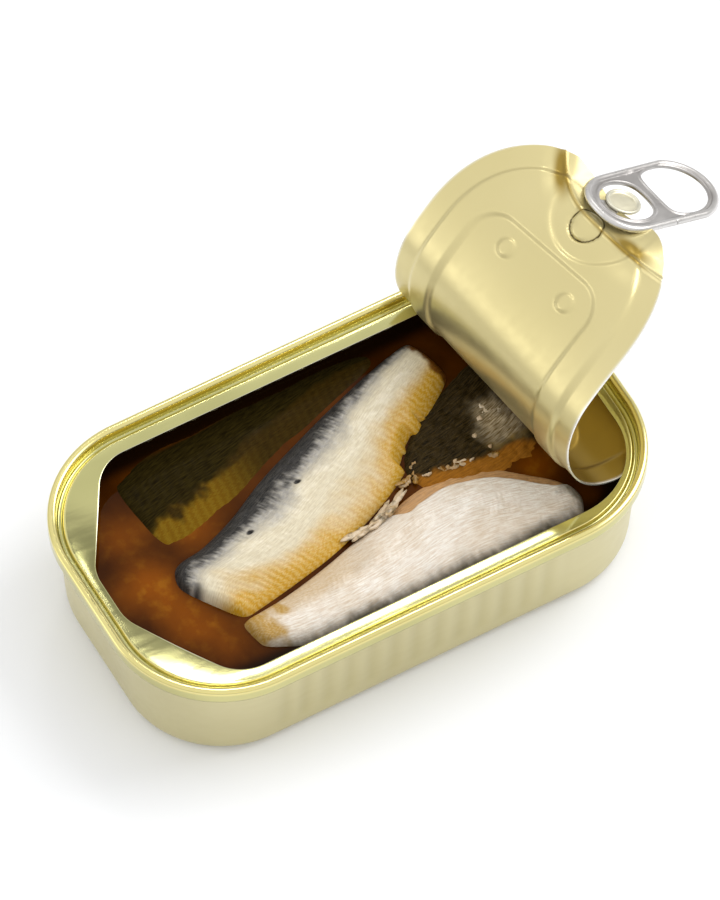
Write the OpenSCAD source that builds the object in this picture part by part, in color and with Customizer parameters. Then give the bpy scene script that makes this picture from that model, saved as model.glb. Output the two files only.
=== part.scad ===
// Opened sardine tin: a drawn cup with a seamed end, whose panel is peeled back and curled,
// a ring pull on the panel's free end, four fillets and the oil they lie in.
// Millimetres, +Z up. The origin is on the table, under the middle of the tin.
// +X points to the end where the panel is still attached, -Y to the front long side.

/* [Tin] */
// Length over the seam
tin_l = 104; // [88:1:130]
// Width over the seam
tin_w = 61; // [54:1:76]
// Height from the table to the top of the seam
tin_h = 23.5; // [19:0.5:32]
// Plan radius of the seam's corners
corner_r = 21.25; // [17:0.25:26]
// Sheet thickness of the drawn cup
cup_t = 0.3; // [0.2:0.05:0.5]
// How far the cup's wall leans in from the seam to the base
wall_lean = 1.2; // [0:0.1:2.5]
// Radius round the edge of the base
base_r = 3; // [1.5:0.5:5]

/* [Seam and ledge] */
// Width of the double seam
seam_w = 1.5; // [1.1:0.05:2]
// Height of the double seam
seam_h = 2.9; // [2.2:0.1:3.6]
// Sheet thickness of the end
end_t = 0.3; // [0.2:0.05:0.5]
// Depth of the ledge below the top of the seam
ledge_drop = 1.4; // [0.8:0.1:2.2]
// Depth of the groove inside the seam, below the ledge
groove_depth = 0.7; // [0.4:0.1:1.2]
// Width of the groove inside the seam
groove_w = 1.4; // [1:0.1:2]
// Width of the ledge left along the long sides
ledge_w = 2.3; // [1.6:0.1:4]
// Width of the ledge left at the two ends
ledge_end_w = 1.6; // [1:0.1:4]
// How far the ledge's wide corners reach in from the pull end
ledge_corner_x = 12; // [6:0.5:18]
// Width left straight at the pull end, between the wide corners
ledge_corner_w = 11; // [6:0.5:24]
// Radius that rounds the wide corners
ledge_corner_r = 8; // [3:0.5:12]
// Plan radius of the opening at the attached end
open_r = 14; // [9:0.5:18]

/* [Peeled panel] */
// Length of the panel that is rolled up out of the attached end
panel_l = 68; // [56:1:86]
// Sheet thickness of the panel
panel_t = 0.3; // [0.2:0.05:0.5]
// Gap between the panel's outline and the edge it was torn from
tear_gap = 0.1; // [0.05:0.05:0.4]
// Angle at which the panel dips into the tin where it is attached
dip_deg = 41; // [20:1:50]
// Radius of the curl at the bottom
curl_r = 10.4; // [8:0.2:13]
// Angle of the sheet where the curl ends
curl_deg = 57; // [40:1:70]
// Radius of the bend that lays the panel back
back_r = 13.6; // [11:0.2:18]
// Angle of the sheet where that bend ends
back_deg = 143; // [120:1:155]
// Radius of the long gentle bow
bow_r = 69; // [50:1:120]
// Angle of the sheet at the crease by the ring pull
bow_deg = 163; // [157:1:170]
// Radius of the crease
crease_r = 2.2; // [1.5:0.1:4]
// Angle of the sheet past the crease
flap_deg = 208; // [190:1:220]
// Turn of the curl's axis away from the tin's short axis
curl_turn = 6.7; // [0:0.1:10]
// Sideways tilt of the curl's axis
curl_tilt = 3.3; // [0:0.1:6]
// Turn of the crease against the panel's own edges
panel_skew = 4.8; // [0:0.1:8]
// Place across the tin of the middle of the attached edge
hinge_y = 3.7; // [0:0.1:6]

/* [Ring pull] */
// Length of the ring pull
pull_l = 27.3; // [22:0.1:34]
// Radius of its finger end
pull_ring_r = 7.8; // [7:0.1:10]
// Radius of its nose
pull_nose_r = 7.6; // [6:0.1:9]
// Thickness over the rolled edge
pull_t = 1.5; // [1.2:0.1:2.2]
// Width of the rolled edge
pull_rim = 1.6; // [1.2:0.1:2.2]
// Thickness of the plate inside the rolled edge
pull_plate_t = 0.7; // [0.5:0.1:1.1]
// Tilt of the ring pull below the level
pull_pitch = 24.5; // [10:0.5:40]
// Width of the bar between the two windows
pull_bar = 2.4; // [1.6:0.1:4]
// Radius of the rivet's button in the nose window
button_r = 3.3; // [2.4:0.1:3.8]
// Thickness of the rivet's button
button_t = 0.8; // [0.6:0.1:1.2]
// Place across the panel of the ring pull's middle
pull_shift = 3.7; // [0:0.1:5]

/* [Contents] */
// Depth of the oil's surface below the ledge
oil_drop = 6; // [4:0.5:9]
// Height of the fillets' undersides above the cup's floor
fish_lift = 3; // [1.5:0.5:4]
// How far the middle fillet stands out of the oil
fish_proud = 2.8; // [2:0.1:4]
// Width of the middle fillet
fish_w = 17.4; // [13:0.2:20]
// Half width of the front fillet
front_w = 9.6; // [7:0.2:11]
// Rings along each fillet
fish_rings = 18; // [10:1:30]
// Corners round each fillet
fish_sides = 14; // [8:1:20]

/* [Hidden] */
$fn = 96;

tuck = 0.35;                            // outer leg of the seam, outside the cup's flange
base_in = seam_w + wall_lean;           // inset of the cup's outer wall at the base
ledge_z = tin_h - ledge_drop;           // top of the ledge
groove_z = ledge_z - groove_depth;      // top of the groove's floor
ledge_in = seam_w + groove_w;           // inset at which the ledge begins
open_l = tin_l - 2*(ledge_in + ledge_end_w);
open_w = tin_w - 2*(ledge_in + ledge_w);
floor_z = cup_t;
oil_z = ledge_z - oil_drop;
panel_w = open_w/2 - tear_gap;          // half width of the panel

// ---------- helpers ----------
function smooth(x) = let (c = max(0, min(1, x))) c*c*(3 - 2*c);
function rad(a) = a*PI/180;
function unit(v) = v/norm(v);

// Points of a fillet of radius r at corner b, between corners a and c
function fillet(a, b, c, r, n = 8) =
    let (u = unit(a - b), v = unit(c - b), half = acos(u*v)/2,
         m = b + unit(u + v)*r/sin(half), p = b + u*r/tan(half), q = b + v*r/tan(half),
         a0 = atan2(p[1] - m[1], p[0] - m[0]), a1 = atan2(q[1] - m[1], q[0] - m[0]),
         turn = (a1 - a0 + 540) % 360 - 180)
    [for (i = [0:n]) m + r*[cos(a0 + turn*i/n), sin(a0 + turn*i/n)]];

// Points of an arc about m
function arc(m, r, a0, a1, n = 8) = [for (i = [0:n]) m + r*[cos(a0 + (a1 - a0)*i/n), sin(a0 + (a1 - a0)*i/n)]];

// Carries a profile (x = 0 at the seam's outside, inwards negative, y = height) round the tin
module round_the_tin() {
    for (q = [[1, 1, 0], [-1, 1, 90], [-1, -1, 180], [1, -1, 270]])
        translate([q[0]*(tin_l/2 - corner_r), q[1]*(tin_w/2 - corner_r), 0])
            rotate([0, 0, q[2]]) rotate_extrude(angle = 90) translate([corner_r, 0]) children();
    for (s = [0, 180]) {
        rotate([0, 0, s]) translate([-(tin_l/2 - corner_r), tin_w/2, 0])
            rotate([90, 0, 90]) linear_extrude(tin_l - 2*corner_r) children();
        rotate([0, 0, s + 90]) translate([-(tin_w/2 - corner_r), tin_l/2, 0])
            rotate([90, 0, 90]) linear_extrude(tin_w - 2*corner_r) children();
    }
}

// A plate with the tin's plan, inset from the seam's outside
module plan_plate(inset, z0, z1) {
    r = corner_r - inset;
    for (sx = [-1, 1], sy = [-1, 1])
        translate([sx*(tin_l/2 - corner_r), sy*(tin_w/2 - corner_r), z0]) cylinder(r = r, h = z1 - z0);
    translate([-(tin_l/2 - inset), -(tin_w/2 - corner_r), z0]) cube([tin_l - 2*inset, tin_w - 2*corner_r, z1 - z0]);
    translate([-(tin_l/2 - corner_r), -(tin_w/2 - inset), z0]) cube([tin_l - 2*corner_r, tin_w - 2*inset, z1 - z0]);
}

// ---------- cup ----------
// The cup's outside from the base to its rim, offset inwards by t: points [inset, height]
function cup_side(t) = let (r = base_r - t, lean = atan2(wall_lean, tin_h - seam_h - base_r)) concat(
    [for (i = [0:8]) let (a = (90 - lean)*i/8) [-(base_in + base_r) + r*sin(a), base_r - r*cos(a)]],
    [[-(seam_w + t), tin_h - seam_h]]);

module cup_profile() {
    flange_top = tin_h - end_t;
    outer = cup_side(0);
    inner = cup_side(cup_t);
    deep = -(base_in + base_r + 2);
    polygon(concat([[deep, 0]], outer, [[-tuck, tin_h - seam_h], [-tuck, flange_top], [-(seam_w - end_t), flange_top],
        [-(seam_w - end_t), tin_h - seam_h + 0.4], [-(seam_w + cup_t), tin_h - seam_h + 0.2]],
        [for (i = [len(inner) - 2:-1:0]) inner[i]], [[deep, cup_t]]));
}

module tin_cup() color([0.80, 0.76, 0.55]) {
    round_the_tin() cup_profile();
    plan_plate(base_in + base_r + 1.5, 0, cup_t);
}

// ---------- end ----------
module seam_profile() {
    t = end_t;
    polygon([[0, tin_h - seam_h], [0, tin_h - 0.5], [-0.15, tin_h - 0.15], [-0.5, tin_h], [-(seam_w - 0.4), tin_h],
        [-(seam_w - 0.05), tin_h - 0.3], [-(seam_w + 0.25), groove_z + 0.25], [-(seam_w + 0.55), groove_z],
        [-(ledge_in - 0.45), groove_z], [-(ledge_in - 0.05), ledge_z], [-(ledge_in + 0.3), ledge_z],
        [-(ledge_in + 0.3), ledge_z - t], [-(ledge_in + 0.1), ledge_z - t], [-(ledge_in - 0.25), groove_z - t],
        [-(seam_w + 0.35), groove_z - t], [-seam_w + 0.05, groove_z + 0.1],
        [-(seam_w - t), tin_h - seam_h + 1.9], [-(seam_w - t), tin_h - t], [-tuck, tin_h - t],
        [-tuck, tin_h - seam_h]]);
}

// The opening: round corners at the attached end, sloping ones at the pull end
function opening() =
    let (x = open_l/2, y = open_w/2, a = [-x + ledge_corner_x, y], b = [-x, ledge_corner_w/2])
    concat(arc([x - open_r, y - open_r], open_r, 0, 90),
        fillet([0, y], a, b, ledge_corner_r), fillet(a, b, [-x, 0], ledge_corner_r),
        fillet([-x, 0], [b[0], -b[1]], [a[0], -a[1]], ledge_corner_r),
        fillet([b[0], -b[1]], [a[0], -a[1]], [0, -y], ledge_corner_r),
        arc([x - open_r, -y + open_r], open_r, 270, 360));

module ledge() difference() {
    plan_plate(ledge_in + 0.15, ledge_z - end_t, ledge_z);
    translate([0, 0, ledge_z - 2*end_t]) linear_extrude(3*end_t) polygon(opening());
}

// The panel's section is a chain of arcs: [radius, angle at the arc's end]
bends = [[curl_r, curl_deg], [back_r, back_deg], [bow_r, bow_deg], [crease_r, flap_deg]];
function bend_from(i) = i == 0 ? -dip_deg : bends[i - 1][1];
function bend_l(i) = bends[i][0]*rad(bends[i][1] - bend_from(i));
// Length along the sheet at which arc i starts
function bend_at(i) = i == 0 ? 0 : bend_at(i - 1) + bend_l(i - 1);
// Place [out, up] at the start of arc i
function bend_place(i) = i == 0 ? [0, 0] : bend_place(i - 1) + bends[i - 1][0]*[
    sin(bends[i - 1][1]) - sin(bend_from(i - 1)), cos(bend_from(i - 1)) - cos(bends[i - 1][1])];
crease_at = bend_at(3);
function bend_of(s) = s < bend_at(1) ? 0 : s < bend_at(2) ? 1 : s < bend_at(3) ? 2 : s < bend_at(4) ? 3 : 4;
function sheet_angle(s) = let (i = bend_of(s))
    i == 4 ? flap_deg : bend_from(i) + (s - bend_at(i))/rad(1)/bends[i][0];
function sheet_place(s) = let (i = bend_of(s), a = bend_from(i), b = sheet_angle(s))
    i == 4 ? bend_place(4) + (s - bend_at(4))*[cos(b), sin(b)]
           : bend_place(i) + bends[i][0]*[sin(b) - sin(a), cos(a) - cos(b)];

// Frame of the curl: the way out of the tin, along the curl's axis, and up
out_dir = [cos(curl_turn), sin(curl_turn), 0];
axis_flat = [-sin(curl_turn), cos(curl_turn), 0];
up_dir = cos(curl_tilt)*[0, 0, 1] + sin(curl_tilt)*axis_flat;
hinge = [open_l/2 - 0.4, hinge_y, ledge_z - end_t/2];

// A point of the panel: s along the sheet, t across it, h towards its outer face
function on_sheet(s, t, h) =
    let (q = sheet_place(s), a = sheet_angle(s), e = sin(curl_tilt)*smooth(s/8))
    hinge - q[0]*out_dir + q[1]*up_dir + t*(cos(curl_tilt)*axis_flat - [0, 0, e])
        + h*(sin(a)*out_dir + cos(a)*up_dir);

// Half widths of the panel at distance d from where it is attached, front and back
side_from = 44;                          // where the rounding of the free end starts
root_front = open_w/2 - open_r - 1.5;
root_back = open_w/2 - open_r - hinge_y - 0.5;
root_len = 8;
neck = 2.8;                              // the back edge is drawn in here, to clear the ledge
function quarter(x) = sqrt(max(0, 1 - pow(1 - min(1, x), 2)));
function free_end(d) = d < side_from ? panel_w
    : panel_w*pow(1 - pow((d - side_from)/(panel_l + 1.2 - side_from), 2.3), 1/2.3);
function width_front(d) = min(free_end(d), root_front + hinge_y + (panel_w - root_front - hinge_y)*quarter(d/root_len));
function width_back(d) = min(free_end(d), d < root_len
    ? root_back + (panel_w - neck - root_back)*quarter(d/root_len)
    : panel_w - neck*(1 - smooth((d - 15)/8)));

// A point of the panel's grid: d from the attached edge, w from -1 at the front to 1 at the back
function panel_point(d, w, h) =
    let (y = w < 0 ? w*width_front(d) : w*width_back(d), slant = min(1, d/20))
    on_sheet(d - sin(panel_skew)*y*slant, y*cos(panel_skew) + sin(panel_skew)*d, h);

// Rows along the sheet, closer together where it bends hard
panel_rows = concat([for (i = [0:13]) bend_at(1)*i/14], [for (i = [0:9]) bend_at(1) + bend_l(1)*i/10],
    [for (i = [0:9]) bend_at(2) + bend_l(2)*i/10], [for (i = [0:4]) crease_at + bend_l(3)*i/4],
    [for (i = [1:4]) bend_at(4) + (panel_l - bend_at(4))*i/4]);
panel_cols = 12;

module sheet_solid() {
    rows = len(panel_rows);
    n = panel_cols + 1;
    // the first row lies inside the ledge, so that the panel is one piece with it
    root = function (w, h) [open_l/2 + 0.8, hinge_y + w*(w < 0 ? root_front + hinge_y : root_back), hinge[2] + h];
    face = function (h) concat([for (j = [0:panel_cols]) root(2*j/panel_cols - 1, h*0.6)],
        [for (i = [0:rows - 1], j = [0:panel_cols]) panel_point(panel_rows[i], 2*j/panel_cols - 1, h)]);
    low = (rows + 1)*n;
    polyhedron(concat(face(panel_t/2), face(-panel_t/2)), concat(
        [for (i = [0:rows - 1], j = [0:panel_cols - 1], k = [0, 1])
            k == 0 ? [i*n + j, (i + 1)*n + j, (i + 1)*n + j + 1] : [i*n + j, (i + 1)*n + j + 1, i*n + j + 1]],
        [for (i = [0:rows - 1], j = [0:panel_cols - 1], k = [0, 1])
            k == 0 ? [low + i*n + j, low + (i + 1)*n + j + 1, low + (i + 1)*n + j]
                   : [low + i*n + j, low + i*n + j + 1, low + (i + 1)*n + j + 1]],
        [for (i = [0:rows - 1], k = [0, 1])
            k == 0 ? [i*n, low + i*n, low + (i + 1)*n] : [i*n, low + (i + 1)*n, (i + 1)*n]],
        [for (i = [0:rows - 1], k = [0, 1]) let (m = panel_cols)
            k == 0 ? [i*n + m, low + (i + 1)*n + m, low + i*n + m] : [i*n + m, (i + 1)*n + m, low + (i + 1)*n + m]],
        [for (j = [0:panel_cols - 1], k = [0, 1])
            k == 0 ? [j, low + j + 1, low + j] : [j, j + 1, low + j + 1]],
        [for (j = [0:panel_cols - 1], k = [0, 1]) let (e = rows*n)
            k == 0 ? [e + j, low + e + j, low + e + j + 1] : [e + j, low + e + j + 1, e + j + 1]]), convexity = 6);
}

module tin_end() color([0.85, 0.79, 0.50]) {
    round_the_tin() seam_profile();
    ledge();
    sheet_solid();
}

// ---------- ring pull ----------
// Outline of two rounds joined by straight sides, inset all round
function pull_outline(inset) =
    let (ra = pull_nose_r, rb = pull_ring_r, d = pull_l - ra - rb, a = asin((rb - ra)/d))
    concat(arc([pull_l - rb, 0], rb - inset, -90 - a, 90 + a, 16), arc([ra, 0], ra - inset, 90 + a, 270 - a, 16));

// A window: the inset outline, kept between two cuts across the pull
module pull_window(u0, u1, inset) intersection() {
    translate([0, 0, -5]) linear_extrude(10) polygon(pull_outline(inset));
    translate([u0, -pull_ring_r, -5]) cube([u1 - u0, 2*pull_ring_r, 10]);
}

bar_at = pull_l/2 - 0.5;                 // middle of the bar between the windows
// The ring pull in its own frame: u along it from the nose, w up from its underside
module pull_placed() {
    nose = on_sheet(crease_at, pull_shift, -(panel_t/2 + pull_t/2 - 0.1));
    translate(nose) rotate([-curl_tilt, 0, curl_turn]) rotate([0, pull_pitch, 0]) children();
}

module ring_pull() color([0.72, 0.71, 0.70]) pull_placed() difference() {
    union() {
        difference() {
            translate([0, 0, -pull_t/2]) linear_extrude(pull_t) polygon(pull_outline(0));
            translate([0, 0, -pull_t]) linear_extrude(2*pull_t) polygon(pull_outline(pull_rim));
        }
        translate([0, 0, -pull_plate_t/2]) linear_extrude(pull_plate_t) polygon(pull_outline(pull_rim/2));
    }
    pull_window(bar_at + pull_bar/2, pull_l, pull_rim + 0.4);
    difference() {
        pull_window(0, bar_at - pull_bar/2, pull_rim + 1.4);
        translate([0, -button_r + 1, -pull_plate_t/2]) cube([pull_nose_r, 2*button_r - 2, pull_plate_t/2]);
    }
}

module rivet_button() color([0.82, 0.79, 0.62]) pull_placed()
    translate([pull_nose_r - 1, 0, 0]) cylinder(r = button_r, h = button_t);

// ---------- contents ----------
// Signed power, for sections squarer than an ellipse
function bulge(x, p) = sign(x)*pow(abs(x), p);

// A fillet from a to b. widths = half widths at the start, middle and end; top = its highest level;
// bow = how far its middle lies to the left; blunt = how square its two ends are
module fillet_solid(a, b, widths, top, bow, blunt) {
    along = unit(b - a);
    side = [-along[1], along[0]];
    half_h = (top - fish_z)/2;
    n = fish_sides;
    half_w = function (u) widths[0]*(1 - u)*(1 - 2*u) + widths[1]*4*u*(1 - u) + widths[2]*u*(2*u - 1);
    taper = function (u) sqrt(max(0, 1 - pow(abs(2*u - 1), u < 0.5 ? blunt[0] : blunt[1])));
    ring = function (i, j) let (u = 0.004 + 0.992*(1 - cos(180*i/fish_rings))/2, q = taper(u), c = 360*j/n,
        m = a + (b - a)*u + side*(bow*sin(180*u) + half_w(u)*q*bulge(cos(c), 0.65)))
        [m[0], m[1], fish_z + half_h + half_h*(0.3 + 0.7*q)*bulge(sin(c), 0.8)];
    polyhedron([for (i = [0:fish_rings], j = [0:n - 1]) ring(i, j)], concat(
        [[for (j = [0:n - 1]) j]], [[for (j = [n - 1:-1:0]) fish_rings*n + j]],
        [for (i = [0:fish_rings - 1], j = [0:n - 1], k = [0, 1]) let (p = i*n, q = (i + 1)*n, m = (j + 1) % n)
            k == 0 ? [p + j, q + j, q + m] : [p + j, q + m, p + m]]), convexity = 4);
}

fish_z = floor_z + fish_lift;
fish_top = oil_z + fish_proud;
in_l = tin_l/2 - seam_w - cup_t;         // inside half length at the rim
in_w = tin_w/2 - seam_w - cup_t;         // inside half width at the rim

module middle_form() fillet_solid([-in_l + 16.2, -6.4], [in_l - 22.5, in_w - 9.7],
    [fish_w/2 - 0.6, fish_w/2 + 0.9, fish_w/2 - 2.6], fish_top, -2.4, [7, 7]);
module front_form() fillet_solid([-in_l + 20.5, -in_w + 13.2], [in_l - 12.5, -in_w + 11],
    [front_w - 4.8, front_w, front_w - 1.8], fish_top - 0.4, 1.6, [3, 3]);
module right_form() fillet_solid([12, -3], [in_l - 6, in_w - 15], [7.5, 8.5, 7], fish_top - 1.1, 0, [4, 4]);
module back_form() fillet_solid([-in_l + 16, in_w - 10.4], [14, in_w - 8], [6, 6.8, 6], oil_z + 0.6, 0, [7, 4]);

module fillet_middle() color([0.62, 0.60, 0.55]) middle_form();
module fillet_front() color([0.72, 0.68, 0.62]) difference() {
    front_form();
    middle_form();
}
module fillet_right() color([0.35, 0.30, 0.24]) difference() {
    right_form();
    middle_form();
    front_form();
}
module fillet_back() color([0.28, 0.24, 0.15]) difference() {
    back_form();
    middle_form();
}

// The oil fills the cup to its level, round the fillets
module oil_profile() {
    inner = cup_side(cup_t);
    low = inner[len(inner) - 2];
    high = inner[len(inner) - 1];
    deep = -(base_in + base_r + 2);
    polygon(concat([[deep, cup_t]], [for (i = [0:len(inner) - 2]) inner[i]],
        [low + (high - low)*(oil_z - low[1])/(high[1] - low[1]), [deep, oil_z]]));
}

module oil() color([0.45, 0.22, 0.06]) difference() {
    union() {
        round_the_tin() oil_profile();
        plan_plate(base_in + base_r + 1.5, cup_t, oil_z);
    }
    middle_form();
    front_form();
    right_form();
    back_form();
}

tin_cup();
tin_end();
ring_pull();
rivet_button();
oil();
fillet_back();
fillet_middle();
fillet_front();
fillet_right();
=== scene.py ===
# %% [markdown]
# # An opened tin of sardines
#
# The tin is a drawn steel cup with a second sheet, the end, seamed onto it. The end has been peeled back
# by its ring pull, and shows four fillets in oil. This lesson loads the plain solids that the tin was
# engineered with and gives each its real surface: fluted and lacquered steel, a torn edge, an embossed
# panel that is curled over, a stamped ring pull, oily fish skin. Every new piece is a formula worked out
# with numpy, so that its shape can be read and changed.

# %% Load the engineered solids
import math
import bpy
import numpy as np
from mathutils import Matrix, Vector


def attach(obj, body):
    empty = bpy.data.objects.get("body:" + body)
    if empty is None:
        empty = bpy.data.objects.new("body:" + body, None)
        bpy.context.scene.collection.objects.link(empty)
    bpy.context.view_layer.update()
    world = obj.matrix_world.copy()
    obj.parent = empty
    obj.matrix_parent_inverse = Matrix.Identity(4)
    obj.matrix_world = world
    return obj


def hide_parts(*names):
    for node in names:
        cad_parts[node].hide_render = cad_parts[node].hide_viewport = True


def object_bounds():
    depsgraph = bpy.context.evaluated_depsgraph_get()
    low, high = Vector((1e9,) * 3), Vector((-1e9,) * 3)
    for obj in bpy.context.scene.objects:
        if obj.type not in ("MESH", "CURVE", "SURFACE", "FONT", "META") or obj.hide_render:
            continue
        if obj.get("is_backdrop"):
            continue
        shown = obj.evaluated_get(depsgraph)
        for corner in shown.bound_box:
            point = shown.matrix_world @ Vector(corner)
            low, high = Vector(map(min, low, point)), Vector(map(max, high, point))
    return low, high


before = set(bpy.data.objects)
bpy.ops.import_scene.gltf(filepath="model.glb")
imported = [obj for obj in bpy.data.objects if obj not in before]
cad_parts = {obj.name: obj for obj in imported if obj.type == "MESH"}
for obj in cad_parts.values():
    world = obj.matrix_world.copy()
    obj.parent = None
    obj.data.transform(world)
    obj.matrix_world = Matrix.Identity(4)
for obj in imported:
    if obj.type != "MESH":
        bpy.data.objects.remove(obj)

cad_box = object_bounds()
print("solids:", sorted(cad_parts))

# %% [markdown]
# ## Node helpers
#
# A finish is a small graph of nodes, and so is the light of the dome. Each method of a Graph adds a node,
# sets or joins its inputs by name and returns the socket that carries the result, so that a whole finish
# reads from top to bottom like a recipe.

# %% Node helpers
class Graph:
    """A node tree, with short ways to add nodes to it."""
    def __init__(self, tree):
        self.tree = tree

    def join(self, node, **inputs):
        """Sets or joins a node's inputs, named with _ for a space or numbered as _0, _1 and so on."""
        for key, value in inputs.items():
            socket = node.inputs[int(key[1:])] if key[0] == "_" else node.inputs[key.replace("_", " ")]
            if isinstance(value, bpy.types.NodeSocket):
                self.tree.links.new(value, socket)
            elif socket.type == "RGBA" and isinstance(value, tuple) and len(value) == 3:
                socket.default_value = (*value, 1.0)
            else:
                socket.default_value = value
        return node.outputs

    def add(self, kind, out=0, settings=(), **inputs):
        node = self.tree.nodes.new("ShaderNode" + kind)
        for key, value in dict(settings).items():
            setattr(node, key, value)
        return self.join(node, **inputs)[out]

    def use(self, group, **inputs):
        """Places a group with its own values and returns its outputs."""
        node = self.tree.nodes.new("ShaderNodeGroup")
        node.node_tree = group.tree
        return self.join(node, **inputs)

    def maths(self, operation, *values):
        numbered = {"_%d" % k: value for k, value in enumerate(values)}
        return self.add("Math", 0, {"operation": operation}, **numbered)

    def plus(self, a, b):
        return self.maths("ADD", a, b)

    def minus(self, a, b):
        return self.maths("SUBTRACT", a, b)

    def times(self, a, b):
        return self.maths("MULTIPLY", a, b)

    def mix(self, factor, a, b):
        return self.add("Mix", 2, {"data_type": "RGBA"}, _0=factor, _6=a, _7=b)

    def remap(self, value, low, high, to_low=0.0, to_high=1.0, **settings):
        return self.add("MapRange", 0, settings, Value=value, From_Min=low, From_Max=high,
                        To_Min=to_low, To_Max=to_high)

    def named(self, name):
        return self.add("Attribute", "Fac", {"attribute_name": name})

    def where(self):
        """Object coordinates, in metres."""
        return self.add("TexCoord", "Object")

    def noise(self, at, scale, **inputs):
        return self.add("TexNoise", Vector=at, Scale=scale, **inputs)

    def bumps(self, height, strength, distance):
        return self.add("Bump", Height=height, Strength=strength, Distance=distance)

def new_group(name, inputs, outputs):
    """An empty shader group with named sockets: its graph, what it is given and its output node."""
    tree = bpy.data.node_groups.new(name, "ShaderNodeTree")
    for label, value in inputs.items():
        tree.interface.new_socket(label, in_out="INPUT", socket_type="NodeSocketFloat").default_value = value
    for label in outputs:
        tree.interface.new_socket(label, in_out="OUTPUT", socket_type="NodeSocketFloat")
    return Graph(tree), tree.nodes.new("NodeGroupInput").outputs, tree.nodes.new("NodeGroupOutput")

class Finish(Graph):
    """A material's graph, with its Principled shader."""
    def __init__(self, name):
        self.material = bpy.data.materials.new(name)
        self.material.use_nodes = True
        super().__init__(self.material.node_tree)

    def shade(self, **inputs):
        """Sets or joins the shader's inputs and returns the material."""
        self.join(self.tree.nodes["Principled BSDF"], **inputs)
        return self.material

def dress(material, *pieces):
    """Gives one material to each of the pieces."""
    for piece in pieces:
        piece.data.materials.append(material)

def linked(obj):
    """Puts an object into the scene."""
    bpy.context.scene.collection.objects.link(obj)
    return obj

# %% [markdown]
# ## The view and the light
#
# The tin was looked at from a little over half way up, through a long lens, so its sides stay nearly
# parallel. The camera is placed by its own three directions, which is exact and needs no tracking aim.
# A tin is a mirror with a colour: what it shows is mostly the room. So the room is a pale dome. A small
# softbox stands behind, where flat metal throws it at the camera as white glare, and a large one on the
# right fills the shadows.

# %% Camera
def aim(name, place, right, up, lens):
    """A camera at a place, with its picture's right and up directions given as unit vectors."""
    data = bpy.data.cameras.new(name)
    data.sensor_width = 36.0
    data.lens = lens
    data.clip_end = 20.0
    right, up = Vector(right).normalized(), Vector(up).normalized()
    back = right.cross(up)
    obj = bpy.data.objects.new(name, data)
    obj.matrix_world = Matrix((right, up, back)).transposed().to_4x4()
    obj.location = Vector(place)
    return linked(obj)

camera = aim("camera", (-0.475867, -0.832023, 1.477960), (0.87004, -0.49297, 0.00405),
             (0.40890, 0.72619, 0.55268), 398.5)
bpy.context.scene.camera = camera
print("camera stands", round(camera.location.length, 3), "m away")

# %% Floor, dome and softboxes
def softbox(name, place, target, size, watts):
    """A rectangular area light at a place, turned to face a target."""
    data = bpy.data.lights.new(name, "AREA")
    data.shape, data.size, data.size_y = "RECTANGLE", size[0], size[1]
    data.energy = watts
    obj = bpy.data.objects.new(name, data)
    obj.location = Vector(place)
    obj.rotation_euler = (Vector(target) - Vector(place)).to_track_quat("-Z", "Y").to_euler()
    return linked(obj)

softbox("key", (0.175, 0.36, 0.51), (0.01, -0.01, 0.02), (0.08, 0.05), 0.20)
softbox("fill", (0.55, -0.02, 0.62), (0.0, 0.0, 0.0), (0.50, 0.50), 2.7)

def cone(graph, way, middle, outer, inner, low, high):
    """Eases from low to high between two cones round a direction, given by their half angles in degrees."""
    near = graph.add("VectorMath", "Value", {"operation": "DOT_PRODUCT"},
                     _0=way, _1=Vector(middle).normalized())
    outer, inner = math.cos(math.radians(outer)), math.cos(math.radians(inner))
    return graph.remap(near, outer, inner, low, high, interpolation_type="SMOOTHSTEP")

# The dome is dimmer near the table, has a dark flag up behind the tin and a bright patch far to its left.
dome = bpy.data.worlds.new("pale_dome")
dome.use_nodes = True
sky = Graph(dome.node_tree)
way = sky.add("TexCoord", "Generated")
upward = sky.add("SeparateXYZ", "Z", _0=way)
level = sky.remap(upward, 0.05, 0.75, 0.66, 1.02, interpolation_type="SMOOTHSTEP")
flagged = sky.times(level, cone(sky, way, (0.44, 0.53, 0.73), 12, 6, 1.0, 0.42))
lamp = cone(sky, way, (-0.80, 0.479, 0.35), 17, 4, 0.0, 1.3)
sky.join(dome.node_tree.nodes["Background"], Color=(1.0, 1.0, 1.0), Strength=sky.plus(flagged, lamp))
bpy.context.scene.world = dome
bpy.context.scene.view_settings.view_transform = "Standard"

TABLE_SIDE, TABLE_Z = 3.0, -0.0002
table_corners = [(x * TABLE_SIDE, y * TABLE_SIDE, TABLE_Z) for x, y in ((-1, -1), (1, -1), (1, 1), (-1, 1))]
table_mesh = bpy.data.meshes.new("table_top")
table_mesh.from_pydata(table_corners, [], [(0, 1, 2, 3)])
table_top = linked(bpy.data.objects.new("table_top", table_mesh))
table_top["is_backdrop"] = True

# %% [markdown]
# ## Sheets of numbers made into meshes
#
# Each piece below is a sheet of points: rows along it and columns across it. These helpers join such a
# sheet into four-sided faces, wrap it where it closes on itself, cap its ends, and write any value that
# the finish needs, such as how far across the fish a point lies, as an attribute of the mesh.

# %% Helpers for surfaces
MM = 0.001

def smooth(x):
    """Goes from 0 to 1 as x does, level at both ends: 3x^2 - 2x^3."""
    c = np.clip(x, 0.0, 1.0)
    return c * c * (3 - 2 * c)

def bump(x, width):
    """A round hill, 1 at x = 0 and 0 from the given half width outwards."""
    return smooth(1 - np.abs(x) / width)

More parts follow.
